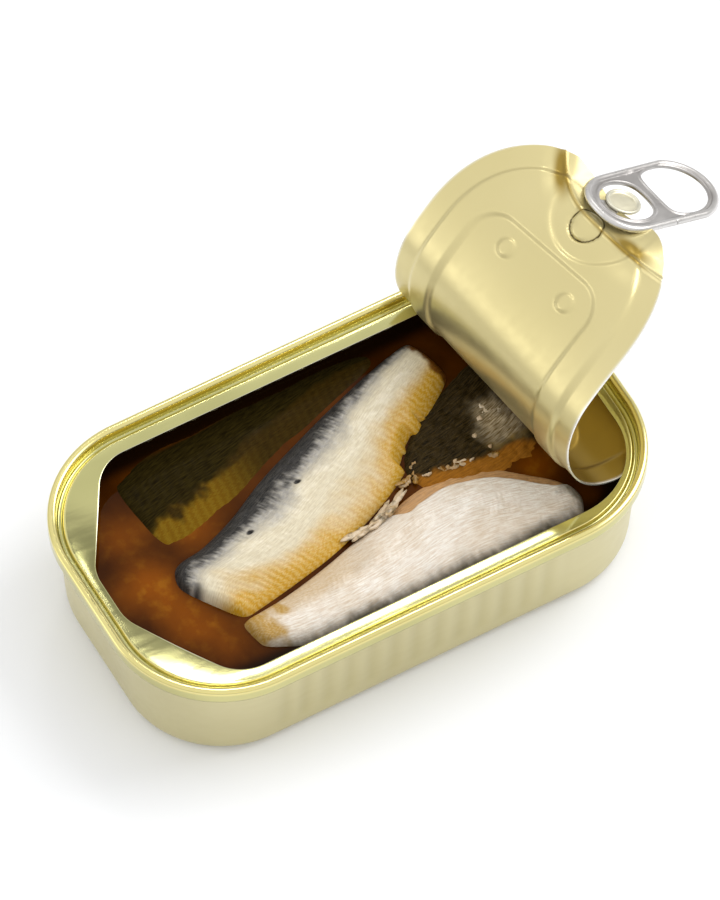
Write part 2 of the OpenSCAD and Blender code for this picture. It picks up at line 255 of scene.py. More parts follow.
def quads(rows, cols, ring=False):
    """Corner numbers of the faces between neighbours; a ring joins its last column to its first."""
    i, j = np.meshgrid(np.arange(rows - 1), np.arange(cols if ring else cols - 1), indexing="ij")
    k = (j + 1) % cols
    return np.stack([i * cols + j, i * cols + k, (i + 1) * cols + k, (i + 1) * cols + j], -1).reshape(-1, 4)

def cloud(x, y, size, seed, octaves=3):
    """Soft random hills from about -1 to 1: smoothed values on a square lattice, added at halving sizes."""
    total, weight, norm = np.zeros(np.broadcast(x, y).shape), 1.0, 0.0
    for o in range(octaves):
        lattice = np.random.default_rng(seed + o).uniform(-1, 1, (64, 64))
        px, py = x / size * 2**o + 31.7, y / size * 2**o + 17.3
        ix, iy = np.floor(px).astype(int), np.floor(py).astype(int)
        fx, fy = smooth(px - ix), smooth(py - iy)
        a, b = lattice[ix % 64, iy % 64], lattice[(ix + 1) % 64, iy % 64]
        c, d = lattice[ix % 64, (iy + 1) % 64], lattice[(ix + 1) % 64, (iy + 1) % 64]
        total += weight * ((a * (1 - fx) + b * fx) * (1 - fy) + (c * (1 - fx) + d * fx) * fy)
        norm, weight = norm + weight, weight * 0.5
    return total / norm * 1.6

def turned_outwards(points, faces):
    """Faces in the order that makes the closed shell's volume positive, so that they point out."""
    a, b, c, d = (points[faces[:, k]] for k in range(4))
    volume = np.einsum("ij,ij->", a, np.cross(b, c)) + np.einsum("ij,ij->", a, np.cross(c, d))
    return faces if volume > 0 else faces[:, ::-1]

def make_piece(name, points, faces, caps=(), values=None, replaces=(), slot=None, closed=True):
    """A mesh object from points in millimetres, with its attributes, riding on the tin's one body."""
    points = np.asarray(points, float).reshape(-1, 3)
    if closed:
        turned = turned_outwards(points, faces)
        if turned is not faces:
            caps = [tuple(reversed(c)) for c in caps]
        faces = turned
    mesh = bpy.data.meshes.new(name)
    mesh.from_pydata((points * MM).tolist(), [], faces.tolist() + [list(c) for c in caps])
    for key, value in (values or {}).items():
        layer = mesh.attributes.new(key, "FLOAT", "POINT").data
        layer.foreach_set("value", np.ravel(value).astype(np.float32))
    mesh.polygons.foreach_set("use_smooth", [True] * len(mesh.polygons))
    mesh.update()
    obj = linked(bpy.data.objects.new(name, mesh))
    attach(obj, "root")
    if replaces:
        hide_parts(*replaces)
    print(name, "has", sum(len(p.vertices) - 2 for p in mesh.polygons), "triangles")
    return obj

def make_shell(name, grid, carry=None, **how):
    """A piece from rows of rings: joined round and along, capped at its first and last ring."""
    rows, cols = grid.shape[:2]
    caps = [tuple(range(cols))[::-1], tuple(range((rows - 1) * cols, rows * cols))]
    points = carry(grid.reshape(-1, 3)) if carry else grid
    return make_piece(name, points, quads(rows, cols, ring=True), caps, **how)

def thin_shell(upper, lower):
    """Two sheets joined at their rims into a flattened tube, with faces across its two ends."""
    grid = np.concatenate([upper, lower[:, ::-1]], 1)
    rows, cols = grid.shape[:2]
    j = np.arange(cols // 2 - 1)
    end = np.stack([j, j + 1, cols - 2 - j, cols - 1 - j], 1)
    faces = np.concatenate([quads(rows, cols, ring=True), end[:, ::-1], end + (rows - 1) * cols])
    return grid.reshape(-1, 3), faces

def joined(shells):
    """Closed shells, each as points and faces, made one: turned outwards, their corners numbered on."""
    points, faces, count = [], [], 0
    for p, f in shells:
        points.append(p)
        faces.append(turned_outwards(p, f) + count)
        count += len(p)
    return np.concatenate(points), np.concatenate(faces)

# %% [markdown]
# ## The tin's plan
#
# Everything on the cup and the end runs round the same outline, a rectangle with round corners. A point
# of it is a place on the inner rectangle of corner centres plus a distance in the outward direction, so
# a profile needs only the inset from the seam's outside and a height.

# %% The path round the tin
TIN_L, TIN_W, TIN_H = 104.0, 61.0, 23.5
CORNER_R = 21.25
SEAM_H = 2.9
LEDGE_Z, GROOVE_Z = 22.1, 21.4
LEDGE_IN = 2.9
OPEN_L, OPEN_W, OPEN_R = TIN_L - 2 * (LEDGE_IN + 1.6), TIN_W - 2 * (LEDGE_IN + 2.3), 14
OIL_Z = 16.1

def round_path(n_long=250, n_short=60, n_corner=56):
    """Centres and outward directions, anticlockwise from the front's left end: side, corner, and so on."""
    hx, hy = TIN_L / 2 - CORNER_R, TIN_W / 2 - CORNER_R
    corners = [(-hx, -hy), (hx, -hy), (hx, hy), (-hx, hy)]
    centre, way = [], []
    for k, n in enumerate((n_long, n_short, n_long, n_short)):
        a, b = np.array(corners[k]), np.array(corners[(k + 1) % 4])
        t = np.arange(n) / n
        angle = math.radians(90 * k - 90)
        centre.append(a + (b - a) * t[:, None])
        way.append(np.tile([math.cos(angle), math.sin(angle)], (n, 1)))
        bend = angle + np.arange(n_corner) / n_corner * math.pi / 2
        centre.append(np.tile(b, (n_corner, 1)))
        way.append(np.stack([np.cos(bend), np.sin(bend)], 1))
    return np.concatenate(centre), np.concatenate(way)

path_centre, path_way = round_path()
print("stations round the tin:", len(path_centre))

def carried(profile, inward=0.0):
    """The profile's [inset, height] pairs carried round the path; inward is an extra inset at each point."""
    inset = profile[:, 0][:, None] + inward + np.zeros(len(path_centre))
    xy = path_centre + (CORNER_R - inset)[..., None] * path_way
    z = np.broadcast_to(profile[:, 1][:, None], inset.shape)
    return np.concatenate([xy, z[..., None]], -1)

def along(points, step):
    """A line of corners filled in with points about a step apart."""
    points = np.asarray(points, float)
    out = [points[:1]]
    for a, b in zip(points[:-1], points[1:]):
        n = max(1, int(round(np.hypot(*(b - a)) / step)))
        out.append(a + (b - a) * (np.arange(1, n + 1) / n)[:, None])
    return np.concatenate(out)

# %% [markdown]
# ## The drawn cup
#
# The cup is pressed from one blank. Its long walls carry shallow upright flutes, which stiffen them, and
# a round edge leads into the base, where a stepped panel lets tins stack. The flutes are real shape here,
# a row of cosine waves pressed into the wall, since their soft light and dark bands come from reflections.
# Their valleys are also darkened a little in the wall's colour, as painted shade.

# %% Cup
BASE_IN, BASE_R, CUP_T = 2.7, 3.0, 0.3
FLUTE_PITCH, FLUTE_DEPTH = 4.4, 0.26
lean = math.atan2(1.2, TIN_H - SEAM_H - BASE_R)

def cup_wall(t):
    """From the base's rounded edge up to the seam, for the outside (t = 0) or the inside (t = thickness)."""
    a = np.linspace(0, math.pi / 2 - lean, 12)
    r = BASE_R - t
    curve = np.stack([BASE_IN + BASE_R - r * np.sin(a), BASE_R - r * np.cos(a)], 1)
    top = [1.5 + t, TIN_H - SEAM_H + 0.15]
    return np.concatenate([curve, along([curve[-1], top], 0.8)[1:]])

def base_steps(t):
    """The base from its middle outwards: a flat panel, raised by a step, then the flat it stands on."""
    return along([(20.0, 0.7 + t), (12.4, 0.7 + t), (11.6, 0.6 + t), (10.6, 0.1 + t), (9.8, t),
                  (BASE_IN + BASE_R + 0.3, t)], 0.6)

cup_profile = np.concatenate([base_steps(0), cup_wall(0), cup_wall(CUP_T)[::-1], base_steps(CUP_T)[::-1]])
at = carried(cup_profile)
flute_span = smooth((at[..., 0] + 33) / 7) * smooth((30 - at[..., 0]) / 8)
flute_rise = smooth((at[..., 2] - 3.0) / 4) * smooth((20.4 - at[..., 2]) / 2.5)
on_long_side = np.abs(path_way[:, 1]) > 0.999
flute = 0.5 - 0.5 * np.cos(2 * math.pi * at[..., 0] / FLUTE_PITCH)
cup = carried(cup_profile, FLUTE_DEPTH * flute * flute_span * flute_rise * on_long_side)
# The attribute flute also carries painted shade: the finish darkens the wall's colour in the flute valleys.
cup_shell = make_shell("cup_shell", cup, values={"flute": flute * flute_span * flute_rise * on_long_side},
                       replaces=["tin_cup"], slot="gold_lacquer_cup")

# %% [markdown]
# ## The seam, the groove and the ledge
#
# The end's rim is rolled down over the cup's flange: the double seam. Inside it are a groove and a narrow
# ledge, all that is left of the panel after it was torn out along its score. The cross-section runs
# round the path like the cup's, except that its inner edge follows the opening, so each column is
# stretched from the groove to the opening's outline. The tear leaves bare steel on the cut edge.

# %% Opening's outline
def rounded(a, b, c, r, n=24):
    """Points of a round of radius r in the corner at b, between a and c."""
    a, b, c = (np.array(p, float) for p in (a, b, c))
    u, v = (a - b) / np.linalg.norm(a - b), (c - b) / np.linalg.norm(c - b)
    half = math.acos(float(u @ v)) / 2
    m = b + (u + v) / np.linalg.norm(u + v) * r / math.sin(half)
    p, q = b + u * r / math.tan(half), b + v * r / math.tan(half)
    a0, a1 = math.atan2(*(p - m)[::-1]), math.atan2(*(q - m)[::-1])
    turn = (a1 - a0 + 3 * math.pi) % (2 * math.pi) - math.pi
    t = a0 + turn * np.linspace(0, 1, n)
    return m + r * np.stack([np.cos(t), np.sin(t)], 1)

ox, oy = OPEN_L / 2, OPEN_W / 2
slope_from, slope_to = (-ox + 12.0, oy), (-ox, 5.5)
corner = np.linspace(0, math.pi / 2, 24)
back_right = np.stack([ox - OPEN_R + OPEN_R * np.cos(corner), oy - OPEN_R + OPEN_R * np.sin(corner)], 1)
upper = np.concatenate([back_right, rounded((0, oy), slope_from, slope_to, 8),
                        rounded(slope_from, slope_to, (-ox, 0), 8)])
opening = np.concatenate([upper, upper[::-1] * [1, -1]])

def reach(start, way, outline):
    """How far each start must go along its way to meet a closed outline: the nearest edge that it crosses."""
    a, b = outline, np.roll(outline, -1, 0)
    edge = b - a
    gap = a[None] - start[:, None]
    cross = way[:, None, 0] * edge[None, :, 1] - way[:, None, 1] * edge[None, :, 0]
    cross = np.where(np.abs(cross) < 1e-12, 1e-12, cross)
    far = (gap[..., 0] * edge[None, :, 1] - gap[..., 1] * edge[None, :, 0]) / cross
    on = (gap[..., 0] * way[:, None, 1] - gap[..., 1] * way[:, None, 0]) / cross
    hit = (on >= 0) & (on <= 1) & (far > 0)
    return np.min(np.where(hit, far, 1e9), 1)

ledge_start = path_centre + (CORNER_R - LEDGE_IN) * path_way
ledge_width = reach(ledge_start, -path_way, opening)
print("ledge is", ledge_width.min().round(2), "to", ledge_width.max().round(2), "mm wide")

# %% End's cross-section
def seam_profile():
    """The seam's outside, its rounded top, the wall down to the groove and the step up to the ledge."""
    top = np.linspace(0, math.pi, 15)
    crown = np.stack([0.75 - 0.75 * np.cos(top), TIN_H - 0.55 + 0.55 * np.sin(top) ** 0.8], 1)
    trough = np.linspace(0, math.pi, 11)
    bowl = np.stack([2.2 - 0.42 * np.cos(trough), GROOVE_Z + 0.25 - 0.25 * np.sin(trough)], 1)
    return np.concatenate([along([(0.1, 20.6), (0.0, 20.9), (0.0, 22.9)], 0.4), crown[1:],
                           along([(1.55, 22.7), (1.74, 21.8)], 0.3), bowl[1:],
                           along([(2.72, 21.92), (2.82, 22.05), (LEDGE_IN, LEDGE_Z)], 0.2)])

seam = seam_profile()
share = np.concatenate([np.linspace(0.06, 0.94, 14), [0.97, 0.99, 1.0, 1.0, 1.0, 0.99, 0.97], [0.5, 0.06]])
dip = np.concatenate([np.zeros(14), [0.01, 0.03, 0.07, 0.14, 0.22, 0.27, 0.3], [0.3, 0.3]])
bare = np.concatenate([np.zeros(14), [0.1, 0.7, 1, 1, 1, 1, 0.5], [0, 0]])
below = along([(2.75, 21.6), (2.5, 21.25), (2.2, 21.12), (1.85, 21.2), (1.65, 20.95), (1.45, 20.85),
               (0.6, 20.7), (0.3, 20.55)], 0.35)
top_part = carried(seam)
stretch = np.stack([np.full(len(share), LEDGE_IN), LEDGE_Z - dip], 1)
ledge_part = carried(stretch, share[:, None] * ledge_width[None, :])
x, y = ledge_part[..., 0], ledge_part[..., 1]
ledge_slope = 0.07 + 0.045 * smooth((-path_way[:, 0] - 0.15) / 0.4)
ledge_part[..., 2] -= share[:, None] * (ledge_slope * ledge_width)[None, :]
ripple = 0.03 * np.sin(share * math.pi)[:, None] + 0.012 * cloud(x, y, 16.0, 5)
ledge_part[..., 2] += ripple * smooth(share * 5)[:, None]
end = np.concatenate([top_part, ledge_part, carried(below)])
rows, cols = end.shape[:2]
faces = quads(rows, cols, ring=True)
last = np.stack([np.arange(cols) + (rows - 1) * cols, (np.arange(cols) + 1) % cols + (rows - 1) * cols,
                 (np.arange(cols) + 1) % cols, np.arange(cols)], 1)
bare_rows = np.concatenate([np.zeros(len(seam)), bare, np.zeros(len(below))])
# Painted shade: the seam's inner wall darkens down into the groove, and its outer wall takes most of the
# ledge's darker gold. The ledge itself is that darker olive gold all over.
seam_shade = smooth((21.95 - seam[:, 1]) / 0.5) * smooth((seam[:, 0] - 1.0) / 0.6)
seam_shade = np.maximum(seam_shade, 0.75 * smooth((22.85 - seam[:, 1]) / 0.2) * smooth((0.6 - seam[:, 0]) / 0.2))
ledge_rows = np.concatenate([seam_shade, np.ones(len(bare)), np.ones(len(below))])
seam_and_ledge = make_piece("seam_and_ledge", end, np.concatenate([faces, last]),
                            values={"bare": np.repeat(bare_rows, cols), "ledge": np.repeat(ledge_rows, cols)},
                            replaces=["tin_end"], slot="gold_lacquer_end")

# %% [markdown]
# ## The peeled panel
#
# The panel was pulled up and back, so it rises out of the attached end, turns over in a curl and lies
# back in a long gentle bow. Near the ring pull it is creased. Seen from the side its section is a chain of
# arcs, each starting at the angle where the last one stopped. The embossing is added square to the sheet.

# %% Section of the curl
# Each arc of the curl: its radius, then its first and last angle in degrees.
BENDS = [(10.4, -41.0, 57.0), (13.6, 57.0, 143.0), (69.0, 143.0, 163.0)]
CURL_TURN, CURL_TILT, SKEW = math.radians(6.7), math.radians(3.3), math.radians(4.8)
OUT = np.array([math.cos(CURL_TURN), math.sin(CURL_TURN), 0.0])
AXIS = np.array([-math.sin(CURL_TURN), math.cos(CURL_TURN), 0.0])
UP = math.cos(CURL_TILT) * np.array([0, 0, 1.0]) + math.sin(CURL_TILT) * AXIS
HINGE_Y, PANEL_T, CREASE_R = 3.7, 0.3, 0.9
HINGE = np.array([OPEN_L / 2 - 0.4, HINGE_Y, LEDGE_Z - PANEL_T / 2])

def section(s, crease_at, flap):
    """Place and angle in the section at length s: arcs, then a crease of angle flap, then a straight."""
    x, y = np.zeros_like(s), np.zeros_like(s)
    angle = np.full_like(s, math.radians(BENDS[0][1]))
    start = 0.0
    held = np.minimum(s, crease_at)
    for r, a, b in BENDS:
        a, b = math.radians(a), math.radians(b)
        turn = np.clip((held - start) / r, 0, b - a if b < 2.8 else 9.0)
        x, y = x + r * (np.sin(a + turn) - math.sin(a)), y + r * (math.cos(a) - np.cos(a + turn))
        angle = np.where(held > start, a + turn, angle)
        start += r * (b - a)
    past = np.maximum(s - crease_at, 0)
    turn = np.minimum(past / CREASE_R, flap)
    x = x + CREASE_R * (np.sin(angle + turn) - np.sin(angle))
    y = y + CREASE_R * (np.cos(angle) - np.cos(angle + turn))
    rest = np.maximum(past - CREASE_R * flap, 0)
    angle = angle + turn
    return x + rest * np.cos(angle), y + rest * np.sin(angle), angle

def on_sheet(s, t, h, crease_at, flap):
    """A point s along the sheet, t across it and h off its middle, towards the face that was outside."""
    x, y, angle = section(s, crease_at, flap)
    ease = math.sin(CURL_TILT) * smooth(s / 8)
    across = math.cos(CURL_TILT) * AXIS - ease[..., None] * np.array([0, 0, 1.0])
    normal = np.sin(angle)[..., None] * OUT + np.cos(angle)[..., None] * UP
    return HINGE - x[..., None] * OUT + y[..., None] * UP + t[..., None] * across + h[..., None] * normal

# %% Outline and embossing of the panel
HALF_W, PANEL_L, ROUND_FROM = OPEN_W / 2 - 0.1, 68.0, 44.0
DRAWN_IN, END_POWER = 2.8, 2.3
ROOT_FRONT, ROOT_BACK = oy - OPEN_R - 1.5, oy - OPEN_R - HINGE_Y - 0.5

def quarter(x):
    """A quarter of a circle, from 0 steeply up to 1."""
    return np.sqrt(np.maximum(0, 1 - (1 - np.minimum(1, x)) ** 2))

def free_end(d):
    """Half width: straight sides, then a squarish round end, a power-2.3 circle."""
    u = np.clip((d - ROUND_FROM) / (PANEL_L + 1.2 - ROUND_FROM), 0, 1)
    return HALF_W * (1 - u ** END_POWER) ** (1 / END_POWER)

def half_width(d, back):
    """Half width at distance d, narrowed to the root; the back side stays drawn in to clear the ledge."""
    if back:
        root = ROOT_BACK + (HALF_W - DRAWN_IN - ROOT_BACK) * quarter(d / 8)
        return np.minimum(free_end(d), np.where(d < 8, root, HALF_W - DRAWN_IN * (1 - smooth((d - 15) / 8))))
    return np.minimum(free_end(d), ROOT_FRONT + HINGE_Y + (HALF_W - ROOT_FRONT - HINGE_Y) * quarter(d / 8))

def edge_distance(d, y):
    """How far a point lies inside the outline: measured in the power-2.3 circle past the straight sides."""
    u = np.maximum(d - ROUND_FROM, 0) / HALF_W
    return HALF_W * (1 - ((np.abs(y) / HALF_W) ** END_POWER + u ** END_POWER) ** (1 / END_POWER))

def box_distance(d, y, d0, d1, w, r):
    """Signed distance to a rectangle with round corners, positive inside."""
    px, py = np.abs(d - (d0 + d1) / 2) - (d1 - d0) / 2 + r, np.abs(y) - w + r
    return r - np.hypot(np.maximum(px, 0), np.maximum(py, 0)) - np.minimum(np.maximum(px, py), 0)

RIVET, RIVET_R = (59.4, -1.8), 3.15

def embossing(d, y):
    """Height of the pressed beads, dimples and rivet, positive towards the face that was outside."""
    rim = edge_distance(d, y)
    h = -0.55 * smooth((rim - 4.0) / 1.0)
    h += 0.52 * smooth((box_distance(d, y, 7.0, 51.6, 15.4, 6.0) + 0.5) / 1.0)
    away = np.hypot(d - 63.0, y + 2.8)
    h += 0.50 * smooth((10.4 - away) / 1.1)
    for cd, cy in ((47.3, 7.0), (46.7, -9.1)):
        ring = np.hypot(d - cd, y - cy)
        h += -0.48 * smooth((2.0 - ring) / 0.65)
    rivet = np.hypot(d - RIVET[0], y - RIVET[1])
    h += 0.55 * bump(rivet - RIVET_R, 0.45) - 0.25 * smooth((3.0 - rivet) / 2.0)
    return h

# %% Panel
def both_faces(a):
    """Values at the panel's points, with the root's row in front, for the inner and then the outer face."""
    a = np.concatenate([a[:1], a])
    return np.concatenate([a, a[:, ::-1]], 1)

# The rows are closer together where the rivet and the crease are.
d = np.concatenate([np.linspace(0, 40, 100)[:-1], np.linspace(40, 56, 62)[:-1], np.linspace(56, PANEL_L, 66)])
w = np.sin(np.linspace(-1, 1, 113) * math.pi / 2) * 0.35 + np.linspace(-1, 1, 113) * 0.65
D, Wn = np.meshgrid(d, w, indexing="ij")
Y = np.where(Wn < 0, Wn * half_width(D, False), Wn * half_width(D, True))
slant = np.minimum(1, D / 20)
S = D - math.sin(SKEW) * Y * slant
T = Y * math.cos(SKEW) + math.sin(SKEW) * D
crease_at = 60.6 + 0.030 * np.maximum(T - 5, 0) ** 2 + 0.004 * (T - 5) ** 2
flap = math.radians(46) * (0.35 + 0.65 * bump(T - 4, 15))
past = S - crease_at
lip = 0.25 * bump(past, 0.8)
H = embossing(D, Y) * smooth(D / 9)
H *= 1 - 0.8 * smooth((past + 0.5) / 1.5)
hollow = bump(past + 1.2, 4.5) * (bump(T - 15.5, 6) + 0.8 * bump(T + 9, 7))
H += 0.65 * hollow - lip + 0.05 * cloud(D, Y, 21.0, 21, 2) * smooth(D / 12)
# Painted shade in the crease's hollows and along the fold, which the finish reads as the attribute hollow.
crease_shade = bump(past + 1.1, 2.4) * bump(T - 15.0, 6.5) + bump(past - 1.3, 2.2) * bump(T + 6.0, 6.0)
crease_shade = np.clip(1.5 * crease_shade + 0.8 * bump(past, 0.55) * smooth((16 - np.abs(T - 3)) / 4), 0, 1)
inner, outer = (on_sheet(S, T, H + off, crease_at, flap) for off in (-PANEL_T / 2, PANEL_T / 2))
root_y = HINGE_Y + np.where(w < 0, w * (ROOT_FRONT + HINGE_Y), w * ROOT_BACK)
root = np.stack([np.full(len(w), ox + 0.8), root_y, np.full(len(w), HINGE[2])], 1)
inner = np.concatenate([root[None] - [0, 0, 0.1], inner])
outer = np.concatenate([root[None] + [0, 0, 0.1], outer])
torn_rim = smooth(1.0 - (1 - np.abs(Wn)) * HALF_W / 0.45)
inside = np.tile(np.arange(2 * len(w)) < len(w), (len(inner), 1))
peeled_panel = make_piece("peeled_panel", *thin_shell(inner, outer),
                          values={"bare": both_faces(torn_rim), "length": both_faces(D),
                                  "across": both_faces(Y), "hollow": both_faces(crease_shade), "inside": inside},
                          replaces=["tin_end"], slot="gold_lacquer_end")

# %% [markdown]
# ## The ring pull
#
# The pull is stamped from strip, with its outer edge and the edges of its two windows rolled over for the
# finger's sake. Its thickness is a height that depends only on the distance to those edges: a half round
# at each edge and a thin plate between. The surface is worked out on rays from the middle of each
# window out to the outline, so that rows of points follow both edges.

# %% Where the pull sits
def spin(axis, degrees):
    return np.array(Matrix.Rotation(math.radians(degrees), 3, axis))

nose = on_sheet(np.array(62.29), np.array(3.7), np.array(-0.8), np.array(99.0), np.array(0.5))
pull_turn = spin("Z", 6.7) @ spin("X", -3.3) @ spin("Y", 24.5)

def on_pull(points):
    """From the pull's own frame, along it from the nose and up from its middle, to the tin's frame."""
    return nose + np.asarray(points) @ pull_turn.T

print("nose of the pull at", nose.round(1))

# %% Pull frame
PULL_L, RING_R, NOSE_R, BAR_AT = 27.3, 7.8, 7.6, 13.25

def power_arc(centre, r, p, a0, a1, n):
    """Part of a round whose outline is |x|^p + |y|^p = r^p: a circle for 2, squarer for more."""
    t = np.radians(np.linspace(a0, a1, n))
    c, s = np.cos(t), np.sin(t)
    k = r / (np.abs(c) ** p + np.abs(s) ** p) ** (1 / p)
    return np.stack([centre + k * c, k * s], 1)

pull_edge = np.concatenate([power_arc(PULL_L - RING_R, RING_R, 2.0, -90, 90, 60),
                            power_arc(NOSE_R, NOSE_R, 2.35, 90, 270, 60)])

def inside_by(points, outline):
    """Distance inside a convex, anticlockwise outline: the least over its edges."""
    edge = np.roll(outline, -1, 0) - outline
    normal = np.stack([edge[:, 1], -edge[:, 0]], 1) / np.hypot(*edge.T)[:, None]
    return ((outline * normal).sum(1) - points @ normal.T).min(-1)

def window_edge(centre, size, flat, angle):
    """Radius of a D-shaped window along a ray: an ellipse and a flat side at the bar, softly combined."""
    c, s = np.cos(angle), np.sin(angle)
    round_side = 1 / np.sqrt((c / size[0]) ** 2 + (s / size[1]) ** 2)
    towards = c * np.sign(flat - centre[0])
    flat_side = np.where(towards > 1e-3, abs(flat - centre[0]) / np.maximum(towards, 1e-3), 1e3)
    return (round_side ** -9.0 + flat_side ** -9.0) ** (-1 / 9.0)

def roll(e, r, tall):
    """Half height of a rolled edge at distance e from it: half an ellipse of width 2r."""
    return tall * np.sqrt(np.clip(1 - ((e - r) / r) ** 2, 0, 1))

def pull_half(centre, size, flat, bar_side, ridge):
    """One window's share of the pull: rays from the window's middle, out over the top and back below."""
    angle = np.linspace(0, 2 * math.pi, 240, endpoint=False)
    ray = np.stack([np.cos(angle), np.sin(angle)], 1)
    r_in = window_edge(centre, size, flat, angle)
    middle = np.tile(centre, (len(angle), 1))
    r_edge = reach(middle, ray, pull_edge)
    ahead = np.where(np.abs(ray[:, 0]) > 1e-3, ray[:, 0], 1)
    to_bar = np.where(ray[:, 0] * bar_side > 1e-3, (BAR_AT - centre[0]) / ahead, 1e3)
    r_out = np.minimum(r_edge, np.where(to_bar > 0, to_bar, 1e3))
    k = 0.5 - 0.5 * np.cos(np.linspace(0, math.pi, 34))
    r = r_in[:, None] + (r_out - r_in)[:, None] * k
    flat_xy = np.asarray(centre) + r[..., None] * ray[:, None]
    from_edge = inside_by(flat_xy, pull_edge)
    slope = np.gradient(r_in, angle, edge_order=2) / r_in
    from_window = (r - r_in[:, None]) / np.sqrt(1 + slope ** 2)[:, None]
    plate = 0.30 * smooth(from_edge / 0.4) * smooth(from_window / 0.3)
    height = np.maximum(np.maximum(roll(from_edge, 0.72, 0.74), roll(from_window, 0.42, ridge)), plate)
    top = np.concatenate([flat_xy, height[..., None]], -1)
    low = np.concatenate([flat_xy, -0.8 * height[..., None]], -1)[:, ::-1]
    ring = np.concatenate([top, low[:, 1:-1]], 1)
    edges = np.concatenate([from_edge, from_edge[:, ::-1][:, 1:-1]], 1)
    ring = np.concatenate([ring, ring[:1]])
    return ring, np.concatenate([edges, edges[:1]])

shells, edge_values = [], []
for ring, edges in (pull_half((18.7, 0.15), (6.7, 6.1), 14.4, -1, 0.46),
                    pull_half((7.5, 0.15), (5.1, 4.9), 12.1, 1, 0.55)):
    rows, cols = ring.shape[:2]
    shells.append((on_pull(ring[:-1].reshape(-1, 3)), quads(rows, cols, ring=True) % ((rows - 1) * cols)))
    edge_values.append(edges[:-1].ravel())
pull_frame = make_piece("pull_frame", *joined(shells), values={"edge": np.concatenate(edge_values)},
                        closed=False, replaces=["ring_pull"], slot="bare_steel")
pull_frame.data.set_sharp_from_angle(angle=math.radians(60))

# %% [markdown]
# ## The button and its tongue
#
# The rivet's button is a round stamping, turned about its own axis: a shallow dish with a rounded rim.
# It hangs in the nose window on a short tongue of the pull's plate.

# %% Button and tongue
def turned(profile, centre, n=96):
    """A [radius, height] profile turned about an upright axis in the pull's frame."""
    a = np.linspace(0, 2 * math.pi, n, endpoint=False)
    r, z = profile[:, 0][:, None], profile[:, 1][:, None]
    x, y = centre[0] + r * np.cos(a), centre[1] + r * np.sin(a)
    return np.stack([x, y, np.broadcast_to(z, x.shape)], -1)

rim = np.linspace(-math.pi * 0.42, math.pi * 0.62, 14)
dish = np.concatenate([along([(0.05, 0.05), (2.2, 0.05), (2.7, 0.12)], 0.25),
                       np.stack([2.94 + 0.34 * np.cos(rim), 0.42 + 0.34 * np.sin(rim)], 1),
                       along([(2.62, 0.50), (2.45, 0.40)], 0.1),
                       along([(2.2, 0.40), (1.2, 0.50), (0.05, 0.54)], 0.25)])
button = turned(dish, (6.5, 0.1))
button_disc = make_shell("button_disc", button, on_pull,
                         values={"rim": np.repeat(smooth((dish[:, 0] - 2.3) / 0.4), button.shape[1])},
                         replaces=["rivet_button"], slot="button_metal")

def slab(outline, low, high, edge=0.12, rings=4):
    """A thin plate with rounded edges: the outline shrunk a little towards its middle, ring by ring."""
    middle = outline.mean(0)
    rows = []
    for k, a in enumerate(np.linspace(0, math.pi, 2 * rings + 1)):
        size = 0.2 if k == 0 else 1 - edge * (1 - math.sin(a)) * 0.5
        level = np.full((len(outline), 1), (low + high) / 2 - math.cos(a) * (high - low) / 2)
        rows.append(np.concatenate([middle + (outline - middle) * size, level], 1))
    last = rows[-1].copy()
    last[:, :2] = middle + (outline - middle) * 0.2
    return np.stack(rows + [last])

tongue_edge = [(1.2, -2.5), (2.6, -2.3), (3.6, -1.7), (4.6, -1.5), (4.6, 1.7), (3.6, 1.9),
               (2.6, 2.5), (1.2, 2.7)]
tongue = slab(np.array(tongue_edge), -0.3, 0.12)
pull_tongue = make_shell("pull_tongue", tongue, on_pull, values={"edge": np.ones(tongue.shape[:2])},
                         replaces=["ring_pull"], slot="bare_steel")

# %% [markdown]
# ## The oil
#
# The oil fills the cup to a level below the ledge and climbs a little where it meets the steel, because it
# wets it. Its surface is laid out in rings, from the wall to a line under the fish, where it is closed.

# %% Oil
ring_share = np.concatenate([np.linspace(0, 0.12, 10), np.linspace(0.12, 0.97, 46)[1:]])
wall_in = 1.8 + 1.2 * (TIN_H - SEAM_H - OIL_Z) / (TIN_H - SEAM_H - BASE_R) + 0.01
wall_xy = path_centre + (CORNER_R - wall_in) * path_way
spine_xy = np.stack([np.clip(path_centre[:, 0] * 0.8, -24, 24), np.zeros(len(path_centre))], 1)
pool = wall_xy[None] * (1 - ring_share[:, None, None]) + spine_xy[None] * ring_share[:, None, None]
px, py = pool[..., 0], pool[..., 1]
from_wall = ring_share[:, None] * np.hypot(*(wall_xy - spine_xy).T)[None]
pool_z = OIL_Z + 0.55 * np.exp(-from_wall / 0.9) + 0.05 * cloud(px, py, 9.0, 40)
surface = np.concatenate([pool, pool_z[..., None]], -1)
inner_wall = cup_wall(CUP_T)
inner_wall = inner_wall[inner_wall[:, 1] < OIL_Z][::-1]
sides = carried(inner_wall + [0.01, 0.01])
pool_shell = np.concatenate([surface[::-1], sides])
ax, ay = pool_shell[..., 0], pool_shell[..., 1]
warm = sum(k * bump(np.hypot(ax - cx, ay - cy), r) for cx, cy, r, k in
           ((-39, 1, 9, 1.0), (-36, -8, 8, 0.7), (-39, 13, 8, 0.45), (-33, -15, 7, 0.5), (-26, 8, 7, 0.45),
            (33, -9, 7, 0.6)))
# Painted shade: the oil darkens under the back and front ledges and under the curl at the right end.
oil_shade = smooth((ay - 23.5) / 3) + smooth((-19 - ay) / 3) + smooth((ax - 38) / 4)
oil_pool = make_shell("oil_pool", pool_shell,
                      values={"warm": np.clip(warm, 0, 1), "oil_shade": np.clip(oil_shade, 0, 1)},
                      replaces=["oil"], slot="oil")

